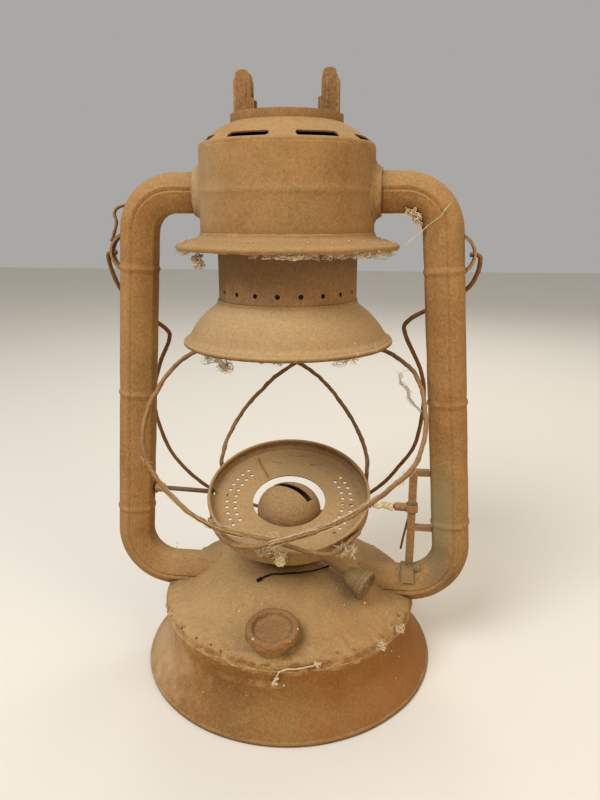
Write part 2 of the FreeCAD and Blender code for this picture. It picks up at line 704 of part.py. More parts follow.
lug = lug.cut(Part.makeCylinder(shaft_radius + running_fit, 12, on_shaft(-14), shaft_way))
wick_tube = wick_tube.fuse(lug)
wick = Part.makeBox(wick_width, wick_thick, wick_top - wick_low)
wick.translate(V(-wick_width / 2, -wick_thick / 2, wick_low))
shaft_start = on_shaft(-11.0)
shaft = Part.makeCylinder(shaft_radius, (knob_face - shaft_start).Length - 0.8, shaft_start, shaft_way)


def star_wheel(across):
    points = []
    for number in range(2 * wheel_points):
        turn = math.pi * number / wheel_points
        reach = wheel_radius if number % 2 == 0 else wheel_radius * 0.74
        points.append(V(0, reach * math.cos(turn), reach * math.sin(turn)))
    wheel = polygon_face(points).extrude(RIGHT * 1.5)
    wheel.translate(V(-0.75, 0, 0))
    wheel.rotate(V(0, 0, 0), BACK, shaft_slope)
    wheel.translate(on_shaft(across))
    return wheel.cut(shaft)


wheels = Part.makeCompound([star_wheel(across) for across in wheel_spots])
knob_back = knob_face - shaft_way * knob_thick
knob = Part.makeCylinder(knob_radius, knob_thick, knob_back, shaft_way)
knob = knob.makeFillet(0.9, [edge for edge in knob.Edges if edge.Length > 2 * knob_radius * 3])
knob_dish = Part.makeCylinder(knob_radius - 2.2, 3, knob_face - shaft_way * 1.2, shaft_way)
knob = knob.cut(knob_dish)
cup_start = knob_back - shaft_way * knob_cup_length
knob_cup = Part.makeCone(5.2, knob_radius - 1.0, knob_cup_length, cup_start, shaft_way)
knob = knob.fuse(knob_cup).cut(shaft)
put("burner_collar", turned_burner(collar))
put("burner_body", turned_burner(body))
put("shaft_bush", turned_burner(bush))
put("burner_cone", turned_burner(cone))
put("wick_tube", turned_burner(wick_tube))
put("wick", turned_burner(wick))
put("wick_shaft", turned_burner(shaft))
put("star_wheels", turned_burner(wheels))
put("wick_knob", turned_burner(knob))
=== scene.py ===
import bmesh
import bpy
import json
import math
import random
from mathutils import Matrix, Vector, noise


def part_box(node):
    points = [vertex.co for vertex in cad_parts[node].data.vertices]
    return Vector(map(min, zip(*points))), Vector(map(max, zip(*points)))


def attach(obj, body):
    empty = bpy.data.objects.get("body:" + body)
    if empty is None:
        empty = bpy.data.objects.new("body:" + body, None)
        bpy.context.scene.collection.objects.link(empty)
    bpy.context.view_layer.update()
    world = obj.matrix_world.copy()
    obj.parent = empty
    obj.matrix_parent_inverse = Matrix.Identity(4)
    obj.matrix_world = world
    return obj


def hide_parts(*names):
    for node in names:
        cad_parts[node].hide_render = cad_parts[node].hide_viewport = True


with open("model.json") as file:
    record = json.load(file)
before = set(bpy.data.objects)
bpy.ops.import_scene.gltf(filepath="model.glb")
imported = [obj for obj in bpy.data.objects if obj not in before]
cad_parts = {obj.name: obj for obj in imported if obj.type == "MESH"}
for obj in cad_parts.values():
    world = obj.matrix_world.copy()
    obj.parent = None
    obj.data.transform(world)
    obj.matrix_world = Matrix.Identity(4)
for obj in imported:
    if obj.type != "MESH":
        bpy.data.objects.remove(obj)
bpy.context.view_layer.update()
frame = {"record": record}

# Rusty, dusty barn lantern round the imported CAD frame. Metres, in the row frame:
# +Z up, -Y the front (filler side), +X the side with the lift rail.
# Outlines are written in millimetres, as in the part's source, and scaled here.

MM = 0.001

# ---- sizes read from the frame, in millimetres ----


def low_high(node):
    low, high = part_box(node)
    return low / MM, high / MM


base_radius = low_high("base_skirt")[1].x
fount_radius = low_high("fount_top_dome")[1].x - 0.2
drum_low, drum_high = low_high("hood_drum")
drum_radius = low_high("hood_floor_ring")[1].x + 1.02
flange_radius = low_high("hood_flange")[1].x
flange_height = 260.0
bell_low, bell_high = low_high("chimney_bell")
neck_low, neck_high = low_high("chimney_neck")
neck_radius = neck_high.x
sheet = 0.9                 # sheet steel of the larger shells
plate_hole_radius = 22.9
plate_flat_end = 45.4
plate_floor = -2.0
tube_radius = 11.4
tube_top = 289.0
tube_low = 51.3
half_spread_top = 84.3
half_spread_low = 103.9
band_heights = (95.4, 171.6, 247.1)
axle_height = 105.3
axle_slope = math.radians(1.8)
plate_tilt = math.radians(19.7)
bail_height = 256.0
bail_lean = math.radians(20.0)


# ---- materials ----


def new_material(name):
    material = bpy.data.materials.new(name)
    material.use_nodes = True
    tree = material.node_tree
    tree.nodes.clear()
    return material, tree


def add_node(tree, kind, **sockets):
    made = tree.nodes.new(kind)
    for key, value in sockets.items():
        made.inputs[key.replace("_", " ")].default_value = value
    return made


def noise_field(tree, coordinates, scale, detail, roughness=0.6):
    made = add_node(tree, "ShaderNodeTexNoise", Scale=scale, Detail=detail, Roughness=roughness)
    tree.links.new(coordinates, made.inputs["Vector"])
    return made.outputs["Fac"]


def spread(tree, value, low, high, to_low=0.0, to_high=1.0):
    """Stretch a value between two limits and clamp it."""
    made = tree.nodes.new("ShaderNodeMapRange")
    made.clamp = True
    tree.links.new(value, made.inputs["Value"])
    for key, number in zip(("From Min", "From Max", "To Min", "To Max"), (low, high, to_low, to_high)):
        made.inputs[key].default_value = number
    return made.outputs["Result"]


def sum_of(tree, first, second, operation="ADD"):
    made = tree.nodes.new("ShaderNodeMath")
    made.operation = operation
    for socket, value in zip(made.inputs, (first, second)):
        if isinstance(value, (int, float)):
            socket.default_value = value
        else:
            tree.links.new(value, socket)
    return made.outputs[0]


def blend_colour(tree, factor, first, second, kind="MIX"):
    made = tree.nodes.new("ShaderNodeMix")
    made.data_type = "RGBA"
    made.blend_type = kind
    made.clamp_factor = True
    for key, value in (("Factor_Float", factor), ("A_Color", first), ("B_Color", second)):
        socket = next(s for s in made.inputs if s.identifier == key)
        if isinstance(value, (int, float)):
            socket.default_value = value
        elif isinstance(value, (tuple, list)):
            socket.default_value = (*value, 1.0)
        else:
            tree.links.new(value, socket)
    return next(s for s in made.outputs if s.identifier == "Result_Color")


def linear(red, green, blue):
    """Screen values of 0 to 255 as the linear colour that a shader takes."""
    made = []
    for value in (red, green, blue):
        share = value / 255
        made.append(share / 12.92 if share <= 0.04045 else ((share + 0.055) / 1.055) ** 2.4)
    return tuple(made)


DUST = linear(196, 164, 118)
# sooty near-black, also used as painted shade on inward faces
SOOT_AND_SHADE = linear(38, 25, 16)


def vector_maths(tree, operation, first, second=None):
    """Vector node on a socket and, where it takes two, a second socket or a fixed vector."""
    node = tree.nodes.new("ShaderNodeVectorMath")
    node.operation = operation
    tree.links.new(first, node.inputs[0])
    if isinstance(second, tuple):
        node.inputs[1].default_value = second
    elif second is not None:
        tree.links.new(second, node.inputs[1])
    return node


def ragged_patch(tree, place, colour, middle_point, reach, shade, strength):
    """Blend in a ragged patch of colour round a point of the piece, both in metres: a real stain on some
    pieces, painted light and painted shade on others.
    """
    from_middle = vector_maths(tree, "SUBTRACT", place, middle_point)
    scaled = vector_maths(tree, "DIVIDE", from_middle.outputs["Vector"], reach)
    size = vector_maths(tree, "LENGTH", scaled.outputs["Vector"])
    ragged = noise_field(tree, place, 90.0, 5.0, 0.65)
    inside = sum_of(tree, size.outputs["Value"], spread(tree, ragged, 0.25, 0.75, -0.5, 0.5))
    return blend_colour(tree, spread(tree, inside, 0.30, 1.25, strength, 0.0), colour, linear(*shade))


def surface(tree, shader, height, bump, depth):
    """Put the bump on the shader and the shader on the material."""
    raised = add_node(tree, "ShaderNodeBump", Strength=bump, Distance=depth)
    tree.links.new(height, raised.inputs["Height"])
    tree.links.new(raised.outputs["Normal"], shader.inputs["Normal"])
    out = tree.nodes.new("ShaderNodeOutputMaterial")
    tree.links.new(shader.outputs[0], out.inputs["Surface"])


def rust(name, dark, middle, light, dust=0.6, orange=0.35, bump=0.35, sooty_and_shaded_inside=False, stains_and_painted_light=()):
    """Old rusted sheet: fine grain, soft patches, pits, sandy dust on top, painted shade in crevices, ragged
    patches that are a real stain on some pieces and painted light and painted shade on others, and sooty
    faces with painted shade turned inwards where asked.
    """
    material, tree = new_material(name)
    place = tree.nodes.new("ShaderNodeTexCoord").outputs["Object"]
    broad = noise_field(tree, place, 22.0, 4.0, 0.55)
    patch = noise_field(tree, place, 150.0, 6.0, 0.70)
    fine = noise_field(tree, place, 640.0, 4.0, 0.75)
    speck = noise_field(tree, place, 1700.0, 2.0, 0.6)
    tone = sum_of(tree, sum_of(tree, broad, 0.22, "MULTIPLY"), sum_of(tree, patch, 0.08, "MULTIPLY"))
    tone = sum_of(tree, tone, sum_of(tree, fine, 0.42, "MULTIPLY"))
    tone = sum_of(tree, tone, sum_of(tree, speck, 0.28, "MULTIPLY"))
    colour = blend_colour(tree, spread(tree, tone, 0.36, 0.52), linear(*dark), linear(*middle))
    colour = blend_colour(tree, spread(tree, tone, 0.49, 0.64), colour, linear(*light))
    warm = noise_field(tree, place, 15.0, 4.0, 0.6)
    colour = blend_colour(tree, spread(tree, warm, 0.36, 0.72, 0.0, orange), colour, linear(160, 92, 36))
    drift = noise_field(tree, place, 46.0, 5.0, 0.62)
    colour = blend_colour(tree, spread(tree, drift, 0.48, 0.70, 0.0, 0.34), colour, linear(116, 98, 52))
    colour = blend_colour(tree, spread(tree, drift, 0.30, 0.48, 0.34, 0.0), colour, linear(108, 62, 26))
    for middle_point, reach, shade, strength in stains_and_painted_light:
        colour = ragged_patch(tree, place, colour, middle_point, reach, shade, strength)
    # pits
    pits = add_node(tree, "ShaderNodeTexVoronoi", Scale=620.0, Randomness=1.0)
    tree.links.new(place, pits.inputs["Vector"])
    pit = spread(tree, pits.outputs["Distance"], 0.06, 0.24, 1.0, 0.0)
    pit = sum_of(tree, pit, spread(tree, fine, 0.40, 0.60), "MULTIPLY")
    colour = blend_colour(tree, sum_of(tree, pit, 0.22, "MULTIPLY"), colour, linear(72, 46, 24))
    # painted shade: crevices darkened by ambient occlusion
    crevice_shade = add_node(tree, "ShaderNodeAmbientOcclusion", Distance=0.008)
    crevice_shade.samples = 6
    depth = spread(tree, crevice_shade.outputs["AO"], 0.40, 0.95, 0.72, 0.0)
    colour = blend_colour(tree, depth, colour, linear(70, 42, 20))
    # worn, lighter edges
    edge = add_node(tree, "ShaderNodeAmbientOcclusion", Distance=0.0006)
    edge.samples = 4
    edge.inside = True
    worn = spread(tree, edge.outputs["AO"], 0.45, 0.90, 0.38, 0.0)
    worn = sum_of(tree, worn, spread(tree, patch, 0.40, 0.60), "MULTIPLY")
    colour = blend_colour(tree, worn, colour, linear(200, 160, 110))
    # dust that has settled on what faces up
    facing = tree.nodes.new("ShaderNodeSeparateXYZ")
    shape = tree.nodes.new("ShaderNodeNewGeometry")
    tree.links.new(shape.outputs["Normal"], facing.inputs[0])
    upward = spread(tree, facing.outputs["Z"], -0.20, 0.90, 0.06, 1.0)
    settled = sum_of(tree, upward, spread(tree, fine, 0.35, 0.60, 0.72, 1.0), "MULTIPLY")
    settled = sum_of(tree, settled, dust, "MULTIPLY")
    colour = blend_colour(tree, settled, colour, DUST)
    crumbs = sum_of(tree, spread(tree, speck, 0.64, 0.72), spread(tree, patch, 0.50, 0.62), "MULTIPLY")
    crumbs = sum_of(tree, crumbs, sum_of(tree, upward, 0.8, "MULTIPLY"), "MULTIPLY")
    colour = blend_colour(tree, crumbs, colour, linear(224, 200, 160))
    if sooty_and_shaded_inside:
        # faces turned to the lantern's axis are made sooty and darkened as painted shade, inside the hood and
        # the chimney
        level = vector_maths(tree, "MULTIPLY", place, (1.0, 1.0, 0.0))
        outward = vector_maths(tree, "NORMALIZE", level.outputs["Vector"])
        facing_out = vector_maths(tree, "DOT_PRODUCT", outward.outputs["Vector"], shape.outputs["Normal"])
        sooted_and_shaded = spread(tree, facing_out.outputs["Value"], -0.45, -0.15, 1.0, 0.0)
        colour = blend_colour(tree, sooted_and_shaded, colour, SOOT_AND_SHADE)
    shader = add_node(tree, "ShaderNodeBsdfPrincipled", Metallic=0.0)
    shader.inputs["Specular IOR Level"].default_value = 0.16
    tree.links.new(colour, shader.inputs["Base Color"])
    tree.links.new(spread(tree, tone, 0.38, 0.66, 0.74, 0.96), shader.inputs["Roughness"])
    height = sum_of(tree, sum_of(tree, patch, 0.8, "MULTIPLY"), sum_of(tree, fine, 0.5, "MULTIPLY"))
    height = sum_of(tree, height, sum_of(tree, speck, 0.2, "MULTIPLY"))
    height = sum_of(tree, height, sum_of(tree, pit, 0.30, "MULTIPLY"), "SUBTRACT")
    surface(tree, shader, height, bump, 0.0010)
    return material


def plain(name, colour, second, scale, roughness=0.9, bump=0.2):
    """Soft mottled matter such as lint, wick or cork."""
    material, tree = new_material(name)
    place = tree.nodes.new("ShaderNodeTexCoord").outputs["Object"]
    field = noise_field(tree, place, scale, 5.0, 0.65)
    mixed = blend_colour(tree, spread(tree, field, 0.38, 0.62), linear(*colour), linear(*second))
    shader = add_node(tree, "ShaderNodeBsdfPrincipled", Roughness=roughness, Metallic=0.0)
    shader.inputs["Specular IOR Level"].default_value = 0.1
    tree.links.new(mixed, shader.inputs["Base Color"])
    surface(tree, shader, field, bump, 0.0005)
    return material


# colours of ragged patches: a grey tin stain, a painted warm shade for the right side, and a painted shade
TIN = (134, 124, 92)
WARM_SHADE = (150, 96, 24)
SHADE = (92, 58, 26)
materials = {
    "tube_rust": rust("tube_rust", (112, 74, 36), (152, 110, 60), (178, 136, 84),
                      dust=0.42, orange=0.26, bump=0.28,
                      stains_and_painted_light=[((0.092, -0.008, 0.100), (0.009, 0.02, 0.036), TIN, 0.75),
                              ((0.094, -0.012, 0.066), (0.010, 0.02, 0.014), (96, 88, 66), 0.55)]),
    "base_rust": rust("base_rust", (90, 56, 20), (126, 84, 32), (152, 110, 54),
                      dust=0.22, orange=0.42,
                      # painted warm shade on the right of the skirt and painted light on its left
                      stains_and_painted_light=[((0.070, -0.030, 0.012), (0.045, 0.06, 0.020), (140, 78, 20), 0.60),
                              ((-0.082, -0.030, 0.020), (0.040, 0.06, 0.034), (196, 160, 118), 0.75)]),
    "fount_rust": rust("fount_rust", (108, 76, 38), (152, 114, 60), (178, 140, 84),
                       dust=0.46, orange=0.18,
                       # painted warm shade on the right, painted light on the left shoulder, painted shadow
                       # of the globe plate in front
                       stains_and_painted_light=[((0.052, -0.050, 0.052), (0.032, 0.024, 0.014), WARM_SHADE, 0.55),
                               ((-0.058, -0.048, 0.050), (0.030, 0.030, 0.018), (186, 148, 104), 0.50),
                               ((0.010, -0.044, 0.058), (0.022, 0.014, 0.014), (122, 92, 50), 0.45),
                               ((0.034, -0.036, 0.060), (0.014, 0.014, 0.014), SHADE, 0.60)]),
    "hood_rust": rust("hood_rust", (118, 84, 46), (150, 112, 64), (166, 128, 80),
                      dust=0.46, orange=0.22, bump=0.28, sooty_and_shaded_inside=True,
                      # a paler patch on the left of the hood top
                      stains_and_painted_light=[((-0.050, -0.020, 0.290), (0.022, 0.05, 0.034), (166, 138, 104), 0.55)]),
    "chimney_rust": rust("chimney_rust", (94, 62, 32), (126, 86, 46), (162, 120, 72),
                         dust=0.94, orange=0.10, bump=0.6, sooty_and_shaded_inside=True,
                         # painted shadow of the flange on the top of the chimney neck
                         stains_and_painted_light=[((0.0, -0.030, 0.256), (0.06, 0.06, 0.026), (92, 58, 28), 0.55)]),
    "plate_rust": rust("plate_rust", (112, 80, 46), (148, 114, 70), (174, 140, 94),
                       dust=0.60, orange=0.14),
    "wire_rust": rust("wire_rust", (78, 48, 26), (122, 80, 44), (160, 116, 70),
                      dust=0.42, orange=0.30, bump=0.55),
    "strap_rust": rust("strap_rust", (102, 70, 40), (144, 104, 62), (170, 132, 88),
                       dust=0.46, orange=0.20, bump=0.5),
    "burner_rust": rust("burner_rust", (94, 62, 36), (142, 106, 68), (170, 136, 94),
                        dust=0.42, orange=0.12),
    "knob_grey": rust("knob_grey", (84, 64, 38), (124, 98, 58), (152, 126, 84),
                      dust=0.36, orange=0.05, bump=0.5),
    "wick_cotton": plain("wick_cotton", (120, 98, 70), (84, 62, 40), 900.0),
    "gasket_cork": plain("gasket_cork", (112, 78, 46), (78, 50, 28), 700.0),
}
cap_brown = rust("cap_brown", (76, 48, 24), (118, 78, 40), (152, 108, 62),
                 dust=0.26, orange=0.35, bump=0.6)
prong_rust = rust("prong_rust", (96, 62, 34), (140, 100, 58), (162, 122, 78),
                  dust=0.30, orange=0.30, bump=0.5)
# darker rust drawn on the left axle rod
darker_left_rod = rust("darker_left_rod", (48, 38, 32), (70, 56, 46), (104, 84, 66),
                 dust=0.2, orange=0.1)
green_grime = rust("green_grime", (88, 74, 46), (124, 102, 62), (150, 126, 84),
                   dust=0.3, orange=0.15, bump=0.6)
# sooty near-black material, also painted shade on the parts inside the hood
soot_and_shade = plain("soot_and_shade", (44, 30, 20), (24, 17, 12), 260.0)
straw = plain("straw", (182, 128, 66), (146, 98, 48), 500.0)
lint = plain("lint", (226, 206, 170), (188, 158, 116), 500.0)
own_looks = {
    "axle_rod_left": darker_left_rod, "rail_foot_boss": green_grime,
    "prong_left": prong_rust, "prong_right": prong_rust,
    # the parts inside the hood are near-black: sooty, and painted shade as well
    "flue_tube": soot_and_shade, "hood_floor_ring": soot_and_shade, "chimney_spring": soot_and_shade, "chimney_stop_ring": soot_and_shade,
}
for entry in frame["record"]["subparts"]:
    cad_object = bpy.data.objects.get(entry["node"])
    if cad_object is not None and cad_object.type == "MESH":
        cad_object.data.materials.clear()
        cad_object.data.materials.append(own_looks.get(entry["node"], materials[entry["material_slot"]]))

# ---- meshes ----


def add_piece(name, verts, faces, body, slot_name, material=None, stands_for=(), sharp=35.0):
    """Mesh in millimetres to an object of the frame that rides on a body."""
    data = bpy.data.meshes.new(name)
    data.from_pydata([Vector(v) * MM for v in verts], [], faces)
    working = bmesh.new()
    working.from_mesh(data)
    bmesh.ops.recalc_face_normals(working, faces=working.faces)
    working.to_mesh(data)
    working.free()
    data.polygons.foreach_set("use_smooth", [True] * len(data.polygons))
    data.set_sharp_from_angle(angle=math.radians(sharp))
    data.materials.append(material or materials[slot_name])
    made = bpy.data.objects.new(name, data)
    bpy.context.collection.objects.link(made)
    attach(made, body)
    if stands_for:
        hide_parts(*stands_for)
    return made


def smooth_line(points, steps):
    """Catmull-Rom line through the points, with a number of steps in each span."""
    ends = [points[0] * 2 - points[1]] + list(points) + [points[-1] * 2 - points[-2]]
    made = []
    for a, b, c, d in zip(ends, ends[1:], ends[2:], ends[3:]):
        for step in range(steps):
            t = step / steps
            made.append(0.5 * (2 * b + (c - a) * t + (2 * a - 5 * b + 4 * c - d) * t * t
                               + (3 * b - a - 3 * c + d) * t * t * t))
    made.append(points[-1].copy())
    return made


def shell_outline(points, wall, steps=6):
    """Closed outline of a sheet: a smooth outer line and the wall laid inside it."""
    outer = smooth_line([Vector((r, 0, z)) for r, z in points], steps)
    inner = []
    for index, point in enumerate(outer):
        ahead = outer[min(index + 1, len(outer) - 1)] - outer[max(index - 1, 0)]
        ahead.normalize()
        inner.append(point + Vector((-ahead.z, 0, ahead.x)) * wall)
    return [(p.x, p.z) for p in outer + inner[::-1]]


def dented(place, amount, size, seed):
    """Small push along the radius from smooth noise."""
    return amount * noise.noise(place / size + Vector((seed, seed * 0.7, -seed)))


def ring_faces(around, count):
    """Faces of a closed ring of sections, each of count points."""
    faces = []
    for step in range(around):
        here = step * count
        there = (step + 1) % around * count
        for index in range(count):
            after = (index + 1) % count
            faces.append((here + index, there + index, there + after, here + after))
    return faces


def round_axis(r, turn, z=0.0):
    """Point at a radius, an angle and a height."""
    return Vector((r * math.cos(turn), r * math.sin(turn), z))


def up(z):
    """Rise straight up."""
    return Vector((0, 0, z))


def lathe(outline, steps=180, amount=0.0, size=22.0, seed=1.0):
    """Turned closed outline with shallow dents, as vertices and faces."""
    verts = []
    for step in range(steps):
        way = round_axis(1, 2 * math.pi * step / steps)
        for r, z in outline:
            place = way * r + up(z)
            push = dented(place, amount, size, seed) if amount else 0.0
            verts.append(place + way * push)
    return verts, ring_faces(steps, len(outline))


def bead_outline(radius, height, thick, steps=14):
    """Round section of a rolled rim."""
    turns = [2 * math.pi * step / steps for step in range(steps)]
    return [(radius + thick * math.cos(turn), height + thick * math.sin(turn)) for turn in turns]


def join(*parts):
    """Several vertex and face lists as one."""
    verts = []
    faces = []
    for more_verts, more_faces in parts:
        start = len(verts)
        verts.extend(more_verts)
        faces.extend(tuple(start + index for index in face) for face in more_faces)
    return verts, faces


def placed(part, matrix):
    verts, faces = part
    return [matrix @ Vector(v) for v in verts], faces


def skin(rings):
    """Closed skin over rings of equal length, capped at both ends."""
    count = len(rings[0])
    verts = [point for ring in rings for point in ring]
    faces = [tuple(range(count))]
    for number in range(len(rings) - 1):
        here = number * count
        there = here + count
        for index in range(count):
            after = (index + 1) % count
            faces.append((here + index, here + after, there + after, there + index))
    last = (len(rings) - 1) * count
    faces.append(tuple(last + index for index in reversed(range(count))))
    return verts, faces


def wire(points, radius, sides=10, rough=0.0, seed=0.0):
    """Round wire along dense points, slightly uneven where it is rough."""
    rings = []
    side = None
    for index, point in enumerate(points):
        ahead = points[min(index + 1, len(points) - 1)] - points[max(index - 1, 0)]
        ahead.normalize()
        if side is None:
            side = ahead.orthogonal()
        side = (side - ahead * side.dot(ahead)).normalized()
        other = ahead.cross(side)
        ring = []
        for number in range(sides):
            turn = 2 * math.pi * number / sides
            way = side * math.cos(turn) + other * math.sin(turn)
            swell = 1 + rough * noise.noise((point + way * 2) / 3.5 + Vector((seed, 0, 0)))
            ring.append(point + way * radius * swell)
        rings.append(ring)
    return skin(rings)


# ---- air tubes: pressed from two halves, with a crease down the front and the back ----
CREASE = math.radians(84.0)
FLAT_END = math.radians(152.0)


def tube_section(turn):
    """Radius of the tube at an angle from its outer side, in millimetres."""
    angle = abs((turn + math.pi) % (2 * math.pi) - math.pi)
    radius = tube_radius - 0.2
    if CREASE < angle < FLAT_END:
        middle = (CREASE + FLAT_END) / 2
        half = (FLAT_END - CREASE) / 2
        chord = radius * math.cos(half) / math.cos(angle - middle)
        radius = 0.45 * radius + 0.55 * chord
    radius -= 0.75 * math.exp(-((angle - CREASE) / 0.055) ** 2)
    radius += 0.30 * math.exp(-((angle - CREASE + 0.16) / 0.07) ** 2)
    radius += 0.35 * math.exp(-((angle - FLAT_END) / 0.08) ** 2)
    return radius


def tube_route():
    """Points, outward directions and leg heights down the right tube."""
    corners = [Vector((drum_radius - 1.0, 0, tube_top)), Vector((half_spread_top, 0, tube_top)),
               Vector((half_spread_low, 0, tube_low)), Vector((45.0, 0, tube_low))]
    bends = (22.6, 26.6)
    route = []
    here = corners[0]
    for before, corner, after, radius in zip(corners, corners[1:], corners[2:], bends):
        back = (before - corner).normalized()
        ahead = (after - corner).normalized()
        half = back.angle(ahead) / 2
        reach = radius / math.tan(half)
        enter = corner + back * reach
        centre = corner + (back + ahead).normalized() * (radius / math.sin(half))
        run = enter - here
        steps = max(2, int(run.length / 1.2))
        outward = (enter - centre).normalized()
        for step in range(steps):
            route.append((here + run * step / steps, outward))
        axis = (enter - centre).cross(corner + ahead * reach - centre).normalized()
        sweep = (enter - centre).angle(corner + ahead * reach - centre)
        for step in range(25):
            arm = Matrix.Rotation(sweep * step / 24, 3, axis) @ (enter - centre)
            route.append((centre + arm, arm.normalized()))
        here = corner + ahead * reach
    run = corners[3] - here
    steps = int(run.length / 1.5)
    for step in range(1, steps + 1):
        route.append((here + run * step / steps, up(-1)))
    return route


def air_tube(name, side, seed):
    rings = []
    for point, outward in tube_route():
        swell = 0.0
        if tube_low + 20 < point.z < tube_top - 20:
            swell = sum(0.85 * math.exp(-abs((point.z - height) / 1.5) ** 4) for height in band_heights)
            swell -= sum(0.25 * math.exp(-((point.z - height) / 3.4) ** 2) for height in band_heights)
        ring = []
        for number in range(72):
            turn = 2 * math.pi * number / 72
            way = outward * math.cos(turn) + Vector((0, -1, 0)) * math.sin(turn)
            radius = tube_section(turn) + swell
            spot = point + way * radius
            spot += way * (0.22 * noise.noise(spot / 16 + Vector((seed, 0, 0))))
            ring.append(Vector((spot.x * side, spot.y, spot.z)))
        rings.append(ring)
    verts, faces = skin(rings)
    add_piece(name + "_shell", verts, faces, "lantern_body", "tube_rust", stands_for=(name,))


air_tube("right_air_tube", 1, 3.0)
air_tube("left_air_tube", -1, 8.0)

# ---- base and fount ----
base_outline = shell_outline([
    (base_radius - 0.6, 1.3), (base_radius - 4.6, 7.4), (base_radius - 8.9, 14.0),
    (fount_radius + 1.0, 20.5), (fount_radius, 28.0), (fount_radius, 35.6), (fount_radius, 42.6),
], sheet)
add_piece("base_skirt_shell",
          *join(lathe(base_outline, 220, 0.45, 26.0, 2.0),
                lathe(bead_outline(base_radius - 1.3, 1.3, 1.25), 220, 0.25, 26.0, 2.0)),
          "lantern_body", "base_rust", stands_for=("base_skirt",))
dome_line = [(72.0, 47.3), (64.0, 49.6), (57.0, 53.0), (50.0, 58.2), (45.0, 62.0), (39.0, 64.9),
             (32.0, 67.0), (25.0, 68.4), (19.0, 69.0)]
fount_outline = shell_outline([
    (fount_radius + 0.1, 37.6), (fount_radius + 0.15, 41.0), (fount_radius - 0.9, 43.8),
    (fount_radius - 3.2, 45.6), *dome_line,
], sheet)


def height_on(line, r):
    """Height of an outline at a radius; the outline runs from its rim inwards."""
    for (r1, z1), (r2, z2) in zip(line, line[1:]):
        if r2 <= r <= r1:
            return z1 + (z2 - z1) * (r1 - r) / (r1 - r2)
    return line[-1][1]


def dome_height(r):
    return height_on(dome_line, r)


shoulder_top = 48.5
ragged_top = 42.5
ragged_depth = 4.9


def fount_dome():
    """Top of the fount, with a lumpy shoulder and a lower edge that has rusted through."""
    verts, faces = lathe(fount_outline, 420, 0.0)
    moved = []
    for v in verts:
        lift = 0.55 * noise.noise(v / 19 + Vector((4, 1, 9))) + 0.25 * noise.noise(v / 7)
        if v.z < shoulder_top:
            # the shoulder is chewed and lumpy
            level = Vector((v.x, v.y, 0)).normalized()
            v = v + level * (0.7 * noise.noise(v / 5.5) + 0.5 * noise.noise(v / 2.4) - 0.2)
            lift += 0.9 * noise.noise(v / 4.0 + Vector((7, 0, 3)))
        if v.z < ragged_top:
            # the lower edge is ragged, where the seam has rusted through
            around = Vector((v.x, v.y, 0)).normalized() * 80
            ragged = 2.6 * noise.noise(around / 15) + 1.6 * noise.noise(around / 4.5)
            lift += ragged * (ragged_top - v.z) / ragged_depth
        moved.append(v + up(lift))
    add_piece("fount_dome_shell", moved, faces, "lantern_body", "fount_rust",
              stands_for=("fount_top_dome",))


fount_dome()

# ---- hood ----
drum_outline = [(drum_radius + 0.6, drum_low.z), (drum_radius + 0.4, tube_top - 2.8),
                (drum_radius + 0.6, tube_top - 1.2), (drum_radius + 0.8, tube_top),
                (drum_radius + 0.5, tube_top + 1.2), (drum_radius + 0.2, tube_top + 2.8),
                (drum_radius, drum_high.z - 3.0), (drum_radius - 0.1, drum_high.z),
                (drum_radius - 0.95, drum_high.z), (drum_radius - 0.95, drum_low.z)]
dense_drum = []
for first, second in zip(drum_outline, drum_outline[1:] + drum_outline[:1]):
    pieces = max(1, int(math.dist(first, second) / 3.0))
    for piece in range(pieces):
        share = piece / pieces
        dense_drum.append(tuple(a + (b - a) * share for a, b in zip(first, second)))
add_piece("hood_drum_shell", *lathe(dense_drum, 180, 0.35, 24.0, 5.0),
          "lantern_body", "hood_rust", stands_for=("hood_drum",))
dome_rim = low_high("hood_dome")[0].z
slot_inner = drum_radius - 5.0
slot_outer = drum_radius - 1.1
slot_half_turn = math.radians(12.4)
slot_count = 8
slot_turn = 5.0             # degrees that the front pair of slots is off centre
slot_spacing = 2 * math.pi / slot_count
first_slot = math.radians(270 + slot_turn + 180 / slot_count)
slot_rounding = 0.035       # radians that the round end adds
hood_line = [(drum_radius - 0.1, dome_rim), (drum_radius - 0.4, dome_rim + 1.5),
             (drum_radius - 2.0, dome_rim + 2.8), (drum_radius - 5.0, dome_rim + 4.8),
             (39.6, dome_rim + 7.4), (35.6, dome_rim + 9.9), (30.6, dome_rim + 12.2)]


def in_slot(r, turn):
    """Whether a spot of the hood dome lies in one of its eight slots."""
    half = (slot_outer - slot_inner) / 2
    across = (r - slot_inner - half) / half
    from_first = (turn - first_slot) % slot_spacing
    along = min(from_first, slot_spacing - from_first)
    end = slot_half_turn + slot_rounding * math.sqrt(max(0.0, 1 - across ** 2))
    return abs(across) < 1 and along < end


